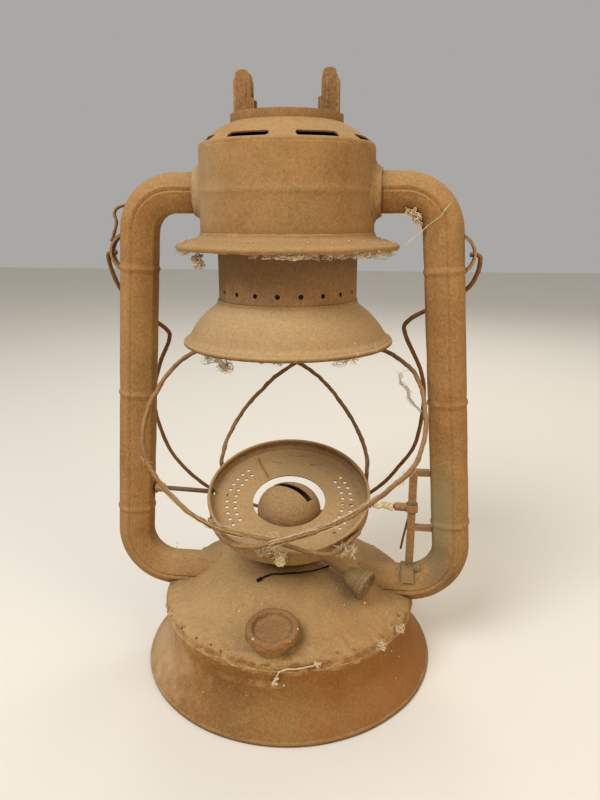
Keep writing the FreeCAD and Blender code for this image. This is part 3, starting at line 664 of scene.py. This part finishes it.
def hood_dome():
    """Domed top of the hood: two skins of squares, left out where a slot is, and walls between them."""
    steps = 560
    radii = [drum_radius - 0.1, drum_radius - 0.4, drum_radius - 0.8]
    rows = 11
    radii += [slot_outer + (slot_inner - slot_outer) * row / rows for row in range(rows + 1)]
    radii += [slot_inner - 1.0 - step * (slot_inner - 31.6) / 8 for step in range(9)]
    verts = []
    for r in radii:
        for thick in (0.0, sheet):
            for step in range(steps):
                way = round_axis(1, 2 * math.pi * step / steps)
                place = way * (r - 0.45 * thick) + up(height_on(hood_line, r) - 0.8 * thick)
                verts.append(place + up(0.25 * noise.noise(place / 18)))

    def corner(row, side, step):
        return (row * 2 + side) * steps + step % steps

    def solid(row, step):
        if not 0 <= row < len(radii) - 1:
            return False
        return not in_slot((radii[row] + radii[row + 1]) / 2, 2 * math.pi * (step + 0.5) / steps)

    faces = []
    for row in range(len(radii) - 1):
        for step in range(steps):
            if not solid(row, step):
                continue
            for side in (0, 1):
                faces.append((corner(row, side, step), corner(row, side, step + 1),
                              corner(row + 1, side, step + 1), corner(row + 1, side, step)))
            borders = (((row, step), (row, step + 1), (row - 1, step)),
                       ((row + 1, step), (row + 1, step + 1), (row + 1, step)),
                       ((row, step), (row + 1, step), (row, (step - 1) % steps)),
                       ((row, step + 1), (row + 1, step + 1), (row, (step + 1) % steps)))
            for first, second, beyond in borders:
                if not solid(*beyond):
                    faces.append((corner(first[0], 0, first[1]), corner(second[0], 0, second[1]),
                                  corner(second[0], 1, second[1]), corner(first[0], 1, first[1])))
    add_piece("hood_dome_shell", verts, faces, "lantern_body", "hood_rust",
              stands_for=("hood_dome",), sharp=50.0)


hood_dome()


def tube_saddle(name, side):
    """Soldered fillet between the drum and an air tube."""
    around = 72
    across = 7
    rings = []
    for step in range(around):
        turn = 2 * math.pi * step / around
        ring = []
        for index in range(across):
            share = index / (across - 1)
            reach = tube_radius + 1.3 + 3.4 * share
            y = reach * math.cos(turn)
            z = tube_top + reach * math.sin(turn)
            x = math.sqrt((drum_radius + 0.5) ** 2 - y ** 2)
            ring.append(Vector((x + 3.6 * (1 - share) ** 2 + 0.2, y, z)))
        ring += [point - Vector((1.4, 0, 0)) for point in reversed(ring)]
        rings.append([Vector((point.x * side, point.y, point.z)) for point in ring])
    verts = [point for ring in rings for point in ring]
    add_piece(name, verts, ring_faces(around, 2 * across), "lantern_body", "hood_rust", sharp=60.0)


tube_saddle("right_saddle", 1)
tube_saddle("left_saddle", -1)
flange_outline = shell_outline([
    (flange_radius - 1.5, flange_height + 1.6), (57.7, flange_height + 3.0), (54.4, flange_height + 3.8),
    (51.6, flange_height + 4.6), (drum_radius + 1.7, flange_height + 5.8),
    (drum_radius + 0.8, flange_height + 8.0),
], sheet)
add_piece("hood_flange_shell",
          *join(lathe(flange_outline, 200, 0.4, 20.0, 6.0),
                lathe(bead_outline(flange_radius - 1.6, flange_height + 0.3, 1.5), 200, 0.3, 20.0, 6.0)),
          "lantern_body", "hood_rust", stands_for=("hood_flange",))

# ---- bell ----
bell_radius = bell_high.x - 0.6
bell_foot = bell_low.z
bell_outline = shell_outline([
    (bell_radius - 0.2, bell_foot + 1.4), (bell_radius - 1.4, bell_foot + 3.4), (56.8, bell_foot + 5.2),
    (55.6, bell_foot + 7.0), (53.6, bell_foot + 10.2), (50.4, bell_foot + 14.2), (46.4, bell_foot + 18.0),
    (42.8, bell_foot + 20.8), (neck_radius + 1.2, neck_low.z + 0.8),
    (neck_radius + 0.6, neck_low.z + 3.0),
], sheet)
add_piece("chimney_bell_shell",
          *join(lathe(bell_outline, 200, 0.5, 20.0, 11.0),
                lathe(bead_outline(bell_radius - 0.9, bell_foot + 1.5, 1.5), 200, 0.4, 20.0, 11.0)),
          "chimney", "chimney_rust", stands_for=("chimney_bell",))

# ---- wires ----
to_plate = (Matrix.Translation((0, 0, axle_height)) @ Matrix.Rotation(axle_slope, 4, "Y")
            @ Matrix.Rotation(plate_tilt, 4, "X"))
guard_left_route = [
    (-47.6, 19.6, -0.8), (-48.2, 28.0, 9.0), (-40.5, 48.0, 24.0), (-21.0, 66.3, 42.7),
    (-1.0, 75.5, 55.5), (24.5, 72.0, 70.0), (50.5, 57.0, 78.5), (71.5, 31.0, 79.0),
    (78.0, 4.0, 71.0), (77.0, -15.0, 62.5), (71.0, -27.0, 55.0), (53.0, -39.5, 42.5),
    (31.0, -49.5, 31.5), (-1.5, -57.4, 21.0), (-27.0, -51.0, 11.0), (-45.6, -24.2, 0.0),
]
guard_right_route = [
    (47.6, 19.6, -0.8), (47.3, 30.0, 12.0), (38.5, 47.5, 23.5), (20.0, 62.8, 42.0),
    (0.0, 71.3, 54.0), (-25.0, 66.8, 67.5), (-50.3, 55.0, 76.5), (-68.5, 30.4, 79.0),
    (-78.4, 4.0, 71.0), (-80.0, -16.0, 62.0), (-75.6, -30.6, 51.6), (-59.6, -43.4, 38.5),
    (-35.4, -53.0, 27.0), (-1.0, -52.2, 17.5), (29.5, -51.5, 9.5), (45.6, -24.2, 0.0),
]


def guard_wire(name, route, seed):
    line = smooth_line([to_plate @ Vector(p) for p in route], 14)
    bent = []
    for p in line:
        shake = Vector((noise.noise(p / 11), noise.noise(p / 11 + Vector((9, 0, 0))), noise.noise(p / 13)))
        bent.append(p + 0.6 * shake)
    add_piece(name + "_wire", *wire(bent, 1.35, 10, 0.38, seed), "globe_carrier", "wire_rust",
              stands_for=(name,))


guard_wire("guard_wire_left", guard_left_route, 1.0)
guard_wire("guard_wire_right", guard_right_route, 5.0)

hang = Vector((0, math.sin(bail_lean), -math.cos(bail_lean)))
bail_route = [
    (-101.0, 0), (-104.6, 0), (-106.8, 2.2), (-106.6, 12), (-103.6, 24), (-95, 38), (-80.5, 50), (-79, 58),
    (-88, 76), (-96.5, 100), (-98, 126), (-91, 158), (-69, 187), (-36, 203), (0, 207.8),
    (30, 200), (56, 178), (71, 155), (80, 135), (83, 102), (80, 78), (69, 52), (69.5, 42), (84, 32),
    (101, 21), (106.2, 11), (106.8, 2.2), (104.6, 0), (101.0, 0),
]
bail_line = smooth_line([Vector((across, 0, bail_height)) + hang * down for across, down in bail_route], 9)
add_piece("bail_wire", *wire(bail_line, 1.3, 10, 0.18, 3.0), "bail", "wire_rust", stands_for=("bail",))

ear_loop = [Vector(p) for p in (
    (-92.6, 4.6, 282.4), (-97.9, 4.2, 282.0), (-101.0, 3.8, 280.2), (-102.2, 3.4, 277.4),
    (-101.0, 3.0, 273.6), (-101.6, 2.4, 270.0), (-103.4, 1.6, 264.6), (-104.6, 0.8, 262.4))]
add_piece("ear_wire_loop", *wire(smooth_line(ear_loop, 6), 0.95, 10, 0.3, 6.0), "lantern_body", "wire_rust")

# ---- pieces turned about a slanted axis ----


def on_axis(name):
    """Matrix that puts +Z along a joint's axis, with its origin at the joint's place, in millimetres."""
    found = next(joint for joint in frame["record"]["behaviour"]["joints"] if joint["name"] == name)
    turn = Vector(found["axis"]).to_track_quat("Z", "X").to_matrix().to_4x4()
    return Matrix.Translation(Vector(found["pos_m"]) / MM) @ turn


def turned(profile, steps, edge=None):
    """Solid turned from a profile that starts and ends on the axis."""
    verts = [up(profile[0][1]), up(profile[-1][1])]
    rows = profile[1:-1]
    for step in range(steps):
        turn = 2 * math.pi * step / steps
        for r, z in rows:
            reach = edge(r, z, turn) if edge else r
            verts.append(round_axis(reach, turn, z))
    faces = []
    count = len(rows)
    for step in range(steps):
        here = 2 + step * count
        there = 2 + (step + 1) % steps * count
        faces.append((0, here, there))
        faces.append((1, there + count - 1, here + count - 1))
        for index in range(count - 1):
            faces.append((here + index, here + index + 1, there + index + 1, there + index))
    return verts, faces


cap_radius = 15.6
rough_from = 9.0            # the cap's edge is chipped outside this radius


def cap_edge(r, z, turn):
    """Edge of the filler cap, eaten unevenly."""
    share = max(0.0, (r - rough_from) / (cap_radius - rough_from))
    spot = Vector((math.cos(turn), math.sin(turn), z / 12)) * 2.2
    return r - share * (0.45 + 0.60 * noise.noise(spot) + 0.55 * noise.noise(spot * 3.1))


cap_profile = [(0, 6.0), (3.0, 6.0), (6.5, 5.9), (9.0, 5.7), (10.2, 5.9), (10.9, 6.8), (11.6, 7.9),
               (12.8, 8.4), (14.0, 8.2), (15.0, 7.5), (cap_radius, 6.3), (cap_radius, 4.6),
               (cap_radius + 0.2, 3.9), (cap_radius - 0.2, 3.4), (14.7, 3.5), (14.6, 5.2), (0, 5.4)]
on_cap = on_axis("cap_turn")
add_piece("filler_cap_shell", *placed(turned(cap_profile, 120, cap_edge), on_cap),
          "screw_cap", "fount_rust", cap_brown, stands_for=("filler_cap",))


def knurl(r, z, turn):
    """Shallow flutes round the grip of the knob."""
    return r - (0.22 if r > 8.5 else 0.0) * (0.5 + 0.5 * math.cos(turn * 30))


knob_profile = [(0, -1.2), (4.6, -1.2), (5.0, -1.7), (5.6, -1.7), (6.0, -1.2), (6.9, -1.0), (7.3, -0.3),
                (7.9, 0.0), (8.8, -0.2), (9.3, -0.8), (9.3, -2.0), (8.9, -2.4), (9.2, -2.9), (8.9, -4.1),
                (8.2, -4.4), (7.9, -6.0), (7.4, -6.4), (7.5, -7.0), (6.8, -9.6), (6.0, -12.0), (5.0, -14.4),
                (0, -14.4)]
add_piece("wick_knob_shell", *placed(turned(knob_profile, 180, knurl), on_axis("wick_turn")),
          "wick_winder", "knob_grey", stands_for=("wick_knob",))

# ---- prongs of the lost cap: stepped channels with rounded tips ----


def plate_of(outline, low, high):
    """Flat plate between two Y values from an outline of (x, z) points."""
    return skin([[Vector((x, y, z)) for x, z in outline] for y in (low, high)])


def prong(name, side):
    """One leg of the lost cap, a channel that opens to the middle."""
    low, high = low_high(name)
    outer = max(abs(low.x), abs(high.x))
    foot = low.z
    top = high.z
    tip = [(outer - 4.9 - 3.6 * math.cos(turn), top - 3.0 + 3.0 * math.sin(turn) ** 0.7)
           for turn in (math.pi * n / 8 for n in range(9))]
    outline = [(outer - 10.9, foot), (outer - 10.9, top - 14.2), (outer - 10.4, top - 13.8),
               (outer - 9.2, top - 13.5), (outer - 9.1, top - 5.0), (outer - 8.8, top - 4.5)]
    outline += tip + [(outer - 0.5, top - 5.0), (outer, top - 5.6), (outer, foot)]
    outline = [(x * side, z) for x, z in outline]
    half = (high.y - low.y) / 2
    ridge = [Vector(((outer - 6.2) * side, -half + 0.1, z)) for z in (foot, foot + 8, top - 9, top - 4.4)]
    second = [Vector(((outer - 9.4) * side, -half + 0.1, z)) for z in (foot, foot + 6, top - 14.4)]
    web_face = (outer + 0.06) * side
    web_back = (outer - sheet) * side
    web = [(web_face, foot), (web_face, top - 5.6), (web_back, top - 5.6), (web_back, foot)]
    add_piece(name + "_channel",
              *join(plate_of(outline, -half, -half + sheet), plate_of(outline, half - sheet, half),
                    plate_of(web, -half - 0.06, half + 0.06),
                    wire(smooth_line(ridge, 4), 0.5, 8, 0.3), wire(smooth_line(second, 4), 0.45, 8, 0.3)),
              "lantern_body", "hood_rust", prong_rust, stands_for=(name,))


prong("prong_left", -1)
prong("prong_right", 1)

# ---- small features of the fount, the flange and the plate ----
loose_line = [Vector((x, y, dome_height(math.hypot(x, y)) + 0.7)) for x, y in (
    (-13.6, -34.2), (-12.4, -33.0), (-7.0, -30.0), (2.0, -28.4), (11.0, -26.2), (20.0, -21.6), (27.0, -15.6))]
loose_end = [loose_line[0] + Vector((-0.9, -0.8, 0)), loose_line[0], loose_line[1]]
loose_wire = [wire(smooth_line(loose_line, 8), 0.5, 8, 0.5, 2.0), wire(loose_end, 1.0, 8, 0.6)]
add_piece("loose_wire_on_dome", *join(*loose_wire), "lantern_body", "wire_rust", soot_and_shade)


def crusty_ring(name, radius, height, thick, seed, slot_name):
    """Uneven ridge of rust and dirt round a seam."""
    steps = 300
    sides = 8
    verts = []
    for step in range(steps):
        way = round_axis(1, 2 * math.pi * step / steps)
        spot = way * radius + up(height)
        size = thick * (0.75 + 0.9 * noise.noise(spot / 5 + Vector((seed, 0, 0)))
                        + 0.5 * noise.noise(spot / 1.8 + Vector((0, seed, 0))))
        size = max(0.25, size)
        rise = 0.6 * noise.noise(spot / 9 + up(seed))
        verts += [spot + way * size * math.cos(a) * 0.8 + up(rise + size * math.sin(a))
                  for a in (2 * math.pi * k / sides for k in range(sides))]
    add_piece(name, verts, ring_faces(steps, sides), "lantern_body", slot_name, sharp=60.0)


crusty_ring("seam_crust", fount_radius - 0.2, 38.8, 1.0, 3.0, "fount_rust")
crusty_ring("flange_crust", flange_radius - 1.2, flange_height - 0.8, 0.6, 7.0, "hood_rust")

# short pressed marks on the globe plate, and a straw that lies across it
# each mark: its two ends on the plate and how far it sags between them
mark_lines = [((-16.8, 35.6), (-9.7, 34.3), 0.6), ((-6.0, 43.4), (6.2, 43.6), 1.2),
              ((9.7, 35.2), (17.1, 35.6), 0.9)]
straw_points = [(-26.0, 36.4, -1.4), (-23.4, 30.6, -1.3), (-19.6, 24.6, -1.4), (-16.2, 18.6, -1.5)]
marks = []
for start, end, sag in mark_lines:
    points = []
    for share in (0.0, 0.12, 0.5, 0.88, 1.0):
        x = start[0] + (end[0] - start[0]) * share
        y = start[1] + (end[1] - start[1]) * share - sag * (1 - (2 * share - 1) ** 2)
        points.append(Vector((x, y, plate_floor)))
    marks.append(placed(wire(smooth_line(points, 3), 0.34, 8, 0.3), to_plate))
add_piece("plate_marks", *join(*marks), "globe_carrier", "plate_rust", cap_brown)
straw_line = smooth_line([to_plate @ Vector(p) for p in straw_points], 6)
add_piece("plate_straw", *wire(straw_line, 0.42, 8, 0.3), "globe_carrier", "plate_rust", straw)

# ---- cobwebs and lint ----


def strand(points, radius, seed):
    """Thread along a list of spots, a little crinkled."""
    bent = []
    for p in smooth_line([Vector(spot) for spot in points], 5):
        shake = [noise.noise(p / 4 + Vector(shift)) for shift in ((seed, 0, 0), (0, seed, 0), (0, 0, seed))]
        bent.append(p + Vector(shake) * 0.8)
    return wire(bent, radius, 5)


def tuft(centre, reach, threads, radius, seed, flat=1.0):
    """Loose knot of threads round a point."""
    draw = random.Random(seed)
    made = []
    for number in range(threads):
        points = []
        for step in range(4):
            points.append(centre + Vector((draw.uniform(-1, 1) * reach, draw.uniform(-1, 1) * reach,
                                           draw.uniform(-1, 1) * reach * flat)))
        made.append(strand(points, radius * draw.uniform(0.6, 1.3), number))
    return made


def crumb(centre, size, seed):
    """Small lump of dirt."""
    rings = []
    for level in range(1, 6):
        tilt = math.pi * level / 6
        ring = []
        for k in range(8):
            turn = 2 * math.pi * k / 8
            way = round_axis(math.sin(tilt), turn, math.cos(tilt))
            ring.append(centre + way * size * (1 + 0.5 * noise.noise(way * 1.7 + Vector((seed, seed, 0)))))
        rings.append(ring)
    return skin(rings)


def scattered(count, seed, place, smallest=0.22, largest=0.6):
    """Crumbs at random spots that a function picks."""
    draw = random.Random(seed)
    return [crumb(place(draw), draw.uniform(smallest, largest), number) for number in range(count)]


def on_dome(draw):
    turn = draw.uniform(0, 2 * math.pi)
    r = draw.uniform(44, 75)
    return round_axis(r, turn, dome_height(r) + 0.3)


def on_shoulder(draw):
    turn = draw.uniform(-3.1, -0.1)
    r = fount_radius - draw.uniform(0.4, 4.0)
    return round_axis(r, turn, 44.2 + draw.uniform(-2.4, 1.6))


def on_skirt(draw):
    turn = draw.uniform(0, 2 * math.pi)
    height = draw.uniform(4, 40)
    r = fount_radius + 0.4 + max(0.0, (24 - height) / 24) ** 1.6 * 12.2
    return round_axis(r, turn, height)


def on_bell(draw):
    turn = draw.uniform(0, 2 * math.pi)
    share = draw.uniform(0.1, 0.9)
    r = bell_radius - 2.0 - share * (bell_radius - neck_radius - 6.0)
    return round_axis(r, turn, bell_foot + 4.6 + share * 13.6)


def on_flange(draw):
    turn = draw.uniform(0, 2 * math.pi)
    r = draw.uniform(50.5, flange_radius - 1.5)
    return round_axis(r, turn, flange_height + 2.2 + (flange_radius - r) * 0.24)


def on_plate(draw):
    turn = draw.uniform(0, 2 * math.pi)
    r = draw.uniform(plate_hole_radius + 2, plate_flat_end - 2)
    return to_plate @ round_axis(r, turn, plate_floor + 0.3)


def on_cap_rim(draw):
    turn = draw.choice((2.6, 3.0, 4.0, 4.4, 4.6)) + draw.uniform(-0.25, 0.25)
    r = draw.uniform(11.0, cap_radius)
    return on_cap @ round_axis(r, turn, 7.9 - 0.15 * (r - 13.5) ** 2)


body_crumbs = scattered(70, 1, on_dome) + scattered(46, 2, on_skirt) + scattered(40, 3, on_flange)
add_piece("dirt_on_body", *join(*body_crumbs), "lantern_body", "fount_rust", lint)
add_piece("dirt_on_bell", *join(*scattered(34, 4, on_bell)), "chimney", "chimney_rust", lint)
add_piece("dirt_on_plate", *join(*scattered(36, 5, on_plate)), "globe_carrier", "plate_rust", lint)
foot_low, foot_high = low_high("rail_foot_boss")
foot_middle = (foot_low + foot_high) / 2
foot_lumps = []
for number, (dx, dy, dz, size) in enumerate((
        (2.0, -2.5, -1.8, 3.2), (6.0, -3.4, -1.4, 3.8), (9.6, -3.0, -1.0, 3.6), (12.0, -4.2, 0.0, 2.8),
        (-5.0, -3.0, -3.2, 2.6))):
    middle = Vector((foot_middle.x + dx, foot_middle.y + dy, foot_high.z + dz))
    foot_lumps.append(crumb(middle, size, 20 + number))
add_piece("lumps_at_rail_foot", *join(*foot_lumps), "lantern_body", "tube_rust", green_grime, sharp=80.0)
add_piece("lumps_on_shoulder", *join(*scattered(90, 12, on_shoulder, 0.3, 0.9)),
          "lantern_body", "fount_rust", sharp=80.0)
add_piece("dirt_on_cap", *join(*scattered(11, 6, on_cap_rim)), "screw_cap", "fount_rust", lint)

skirt_web = [
    strand(((3.0, -80.6, 34.0), (4.5, -80.8, 38.0), (7.0, -80.8, 41.5), (16.0, -79.4, 42.4),
            (24.0, -77.6, 43.6), (28.0, -76.4, 45.0)), 0.42, 3),
    strand(((2.4, -80.9, 31.0), (3.4, -80.9, 34.6), (5.0, -81.0, 36.0)), 0.7, 5),
]
for centre, reach, threads, thick, seed, flat in (
        ((3.2, -80.6, 32.6), 1.6, 5, 0.2, 9, 0.8), ((26.0, -77.4, 44.4), 2.2, 6, 0.2, 10, 0.5),
        ((60.0, -54.0, 42.0), 3.4, 12, 0.2, 12, 0.6), ((71.0, -38.0, 42.5), 3.4, 12, 0.2, 13, 0.6),
        ((-66.0, -42.0, 44.4), 2.4, 6, 0.18, 14, 0.4)):
    skirt_web += tuft(Vector(centre), reach, threads, thick, seed, flat)
add_piece("lint_on_skirt", *join(*skirt_web), "lantern_body", "base_rust", lint)
under_flange = []
for turn, reach, threads in ((-98, 2.4, 8), (-92, 2.6, 9), (-86, 3.2, 18), (-81, 3.4, 20), (-76, 3.4, 18),
                             (-70, 3.4, 14), (-63, 3.2, 12), (-56, 3.4, 12), (-49, 3.6, 13), (-42, 4.0, 15),
                             (-35, 4.4, 17), (-28, 4.8, 18), (-21, 4.6, 16), (-14, 4.0, 10), (-152, 3.2, 9),
                             (-163, 3.6, 12), (30, 3.0, 8), (120, 3.0, 8)):
    edge = round_axis(1, math.radians(turn)) * (flange_radius - 4.0)
    under_flange += tuft(edge + up(flange_height - 2.0), reach, threads, 0.11, 200 + turn, 0.55)
add_piece("web_under_flange", *join(*under_flange), "lantern_body", "hood_rust", lint)


def tufts(spots, thickness=0.08):
    """Knots of cobweb, each a centre, a reach and a number of threads."""
    made = []
    for number, (centre, reach, threads) in enumerate(spots):
        made += tuft(Vector(centre), reach * 1.5, threads + 6, thickness, 300 + number * 7, 0.8)
    return join(*made)


def wisp(path, reach, threads, seed):
    """Loose threads that run along a line of spots."""
    draw = random.Random(seed)
    made = []
    for number in range(threads):
        first = draw.randrange(0, len(path) - 1)
        points = []
        for spot in path[first:]:
            points.append(Vector(spot) + Vector([draw.uniform(-reach, reach) for _ in range(3)]))
        points.insert(0, points[0] + Vector([draw.uniform(-2.5, 2.5) for _ in range(3)]))
        made.append(strand(points, draw.uniform(0.06, 0.12), number))
    return join(*made)


right_drift = ((71.5, 2.5, 190.0), (66.6, 8.0, 186.0), (67.6, 10.0, 179.6), (71.5, 10.0, 175.5),
               (72.4, 6.0, 171.0), (77.6, -18.0, 171.0))
right_knot = ((76.0, -6.0, 131.0), (74.0, -8.0, 127.8), (71.0, -8.0, 129.0), (69.0, -13.0, 124.0))
left_drift = [to_plate @ Vector(spot) for spot in guard_right_route[10:14]]
front_drift = [to_plate @ Vector(spot) for spot in guard_left_route[10:14]]
add_piece("web_on_guard", *join(
    wisp(right_drift, 1.3, 16, 41), wisp(right_knot, 2.0, 16, 42), wisp(left_drift, 2.2, 16, 43),
    wisp(front_drift, 2.0, 22, 44)), "globe_carrier", "wire_rust", lint)
add_piece("web_on_plate_front", *tufts([
    ((-3.8, -53.0, 99.0), 3.6, 12), ((1.8, -53.5, 96.0), 3.4, 12), ((-1.5, -51.0, 103.0), 3.0, 8),
    ((-8.4, -52.5, 98.7), 3.0, 8), ((41.1, -40.0, 92.7), 3.0, 10), ((35.5, -43.0, 94.8), 3.0, 8),
    ((2.5, -55.0, 92.0), 1.6, 10),
], 0.14), "globe_carrier", "plate_rust", lint)
cocoon = [crumb(Vector((2.8, -54.6, 90.8)), 2.4, 4), crumb(Vector((3.4, -54.2, 93.4)), 1.7, 6)]
add_piece("cocoon_on_plate", *join(*cocoon), "globe_carrier", "plate_rust", lint)
along_rod = Vector((math.cos(axle_slope), 0, -math.sin(axle_slope)))
sleeve = [up(axle_height) + along_rod * reach for reach in (53.4, 56, 58.5, 61, 63.5, 65.2)]
add_piece("lint_on_axle_rod", *wire(smooth_line(sleeve, 6), 1.95, 12, 0.75, 2.0),
          "globe_carrier", "wire_rust", lint)
add_piece("web_on_bell", *tufts([
    ((-35.8, -40.0, 203.4), 3.0, 8), ((-30.4, -40.0, 200.0), 3.2, 10), ((-27.1, -40.0, 198.0), 2.4, 8),
    ((33.1, -42.0, 204.5), 3.2, 7), ((39.3, -41.0, 205.6), 3.0, 7), ((49.0, -30.0, 208.0), 2.4, 6),
    ((2.0, -54.5, 206.0), 2.2, 6), ((-6.0, -54.5, 206.5), 1.8, 6),
], 0.13), "chimney", "chimney_rust", lint)
long_route = ((61.0, -12.0, 258.8), (72.6, -12.6, 268.0), (82.6, -12.6, 276.4), (88.0, -11.4, 283.0))
long_strand = strand(long_route, 0.22, 4)
tube_webs = tufts([
    ((67.6, -8.0, 278.5), 2.0, 7), ((70.3, -8.0, 276.0), 2.0, 8), ((72.1, -8.0, 272.9), 1.8, 6),
    ((-43.9, -34.0, 254.4), 2.4, 7), ((-41.8, -34.0, 252.0), 2.0, 7),
], 0.2)
add_piece("web_on_tube", *join(long_strand, tube_webs), "lantern_body", "tube_rust", lint)

# ---- stage ----


def floor():
    size = 3.0
    data = bpy.data.meshes.new("floor")
    data.from_pydata([(-size, -size, 0), (size, -size, 0), (size, size, 0), (-size, size, 0)], [],
                     [(0, 1, 2, 3)])
    made = bpy.data.objects.new("floor", data)
    bpy.context.collection.objects.link(made)
    material, tree = new_material("floor")
    shader = add_node(tree, "ShaderNodeBsdfPrincipled", Roughness=0.85)
    shader.inputs["Base Color"].default_value = (*linear(232, 226, 214), 1.0)
    out = tree.nodes.new("ShaderNodeOutputMaterial")
    tree.links.new(shader.outputs[0], out.inputs["Surface"])
    data.materials.append(material)


def light(name, place, target, size, power, colour):
    data = bpy.data.lights.new(name, "AREA")
    data.shape = "DISK"
    data.size = size
    data.energy = power
    data.color = colour
    made = bpy.data.objects.new(name, data)
    made.location = place
    made.rotation_euler = (Vector(target) - Vector(place)).to_track_quat("-Z", "Y").to_euler()
    bpy.context.collection.objects.link(made)


floor()
light("key", (-0.55, -0.85, 1.25), (0, 0, 0.15), 0.8, 17.0, (0.95, 0.97, 1.0))
light("fill", (0.95, -0.65, 0.80), (0, 0, 0.15), 0.9, 5.4, (1.0, 0.80, 0.52))
light("back", (0.2, 1.0, 1.0), (0, 0, 0.2), 0.8, 5.0, (1.0, 0.96, 0.90))
world = bpy.data.worlds.new("studio")
world.use_nodes = True
world.node_tree.nodes["Background"].inputs["Color"].default_value = (0.95, 0.93, 0.90, 1.0)
world.node_tree.nodes["Background"].inputs["Strength"].default_value = 0.42
bpy.context.scene.world = world

# ---- camera: in front, a little to the right, looking down at the lantern ----
lens = bpy.data.cameras.new("camera")
lens.lens = 28.88
lens.sensor_width = 36.0
lens.clip_start = 0.01
camera = bpy.data.objects.new("camera", lens)
camera.location = (0.05232, -0.36918, 0.2770)
camera.rotation_euler = (math.radians(90.0 - 16.08), 0.0, math.radians(7.0))
bpy.context.collection.objects.link(camera)
bpy.context.scene.camera = camera
bpy.context.scene.view_settings.view_transform = "Standard"
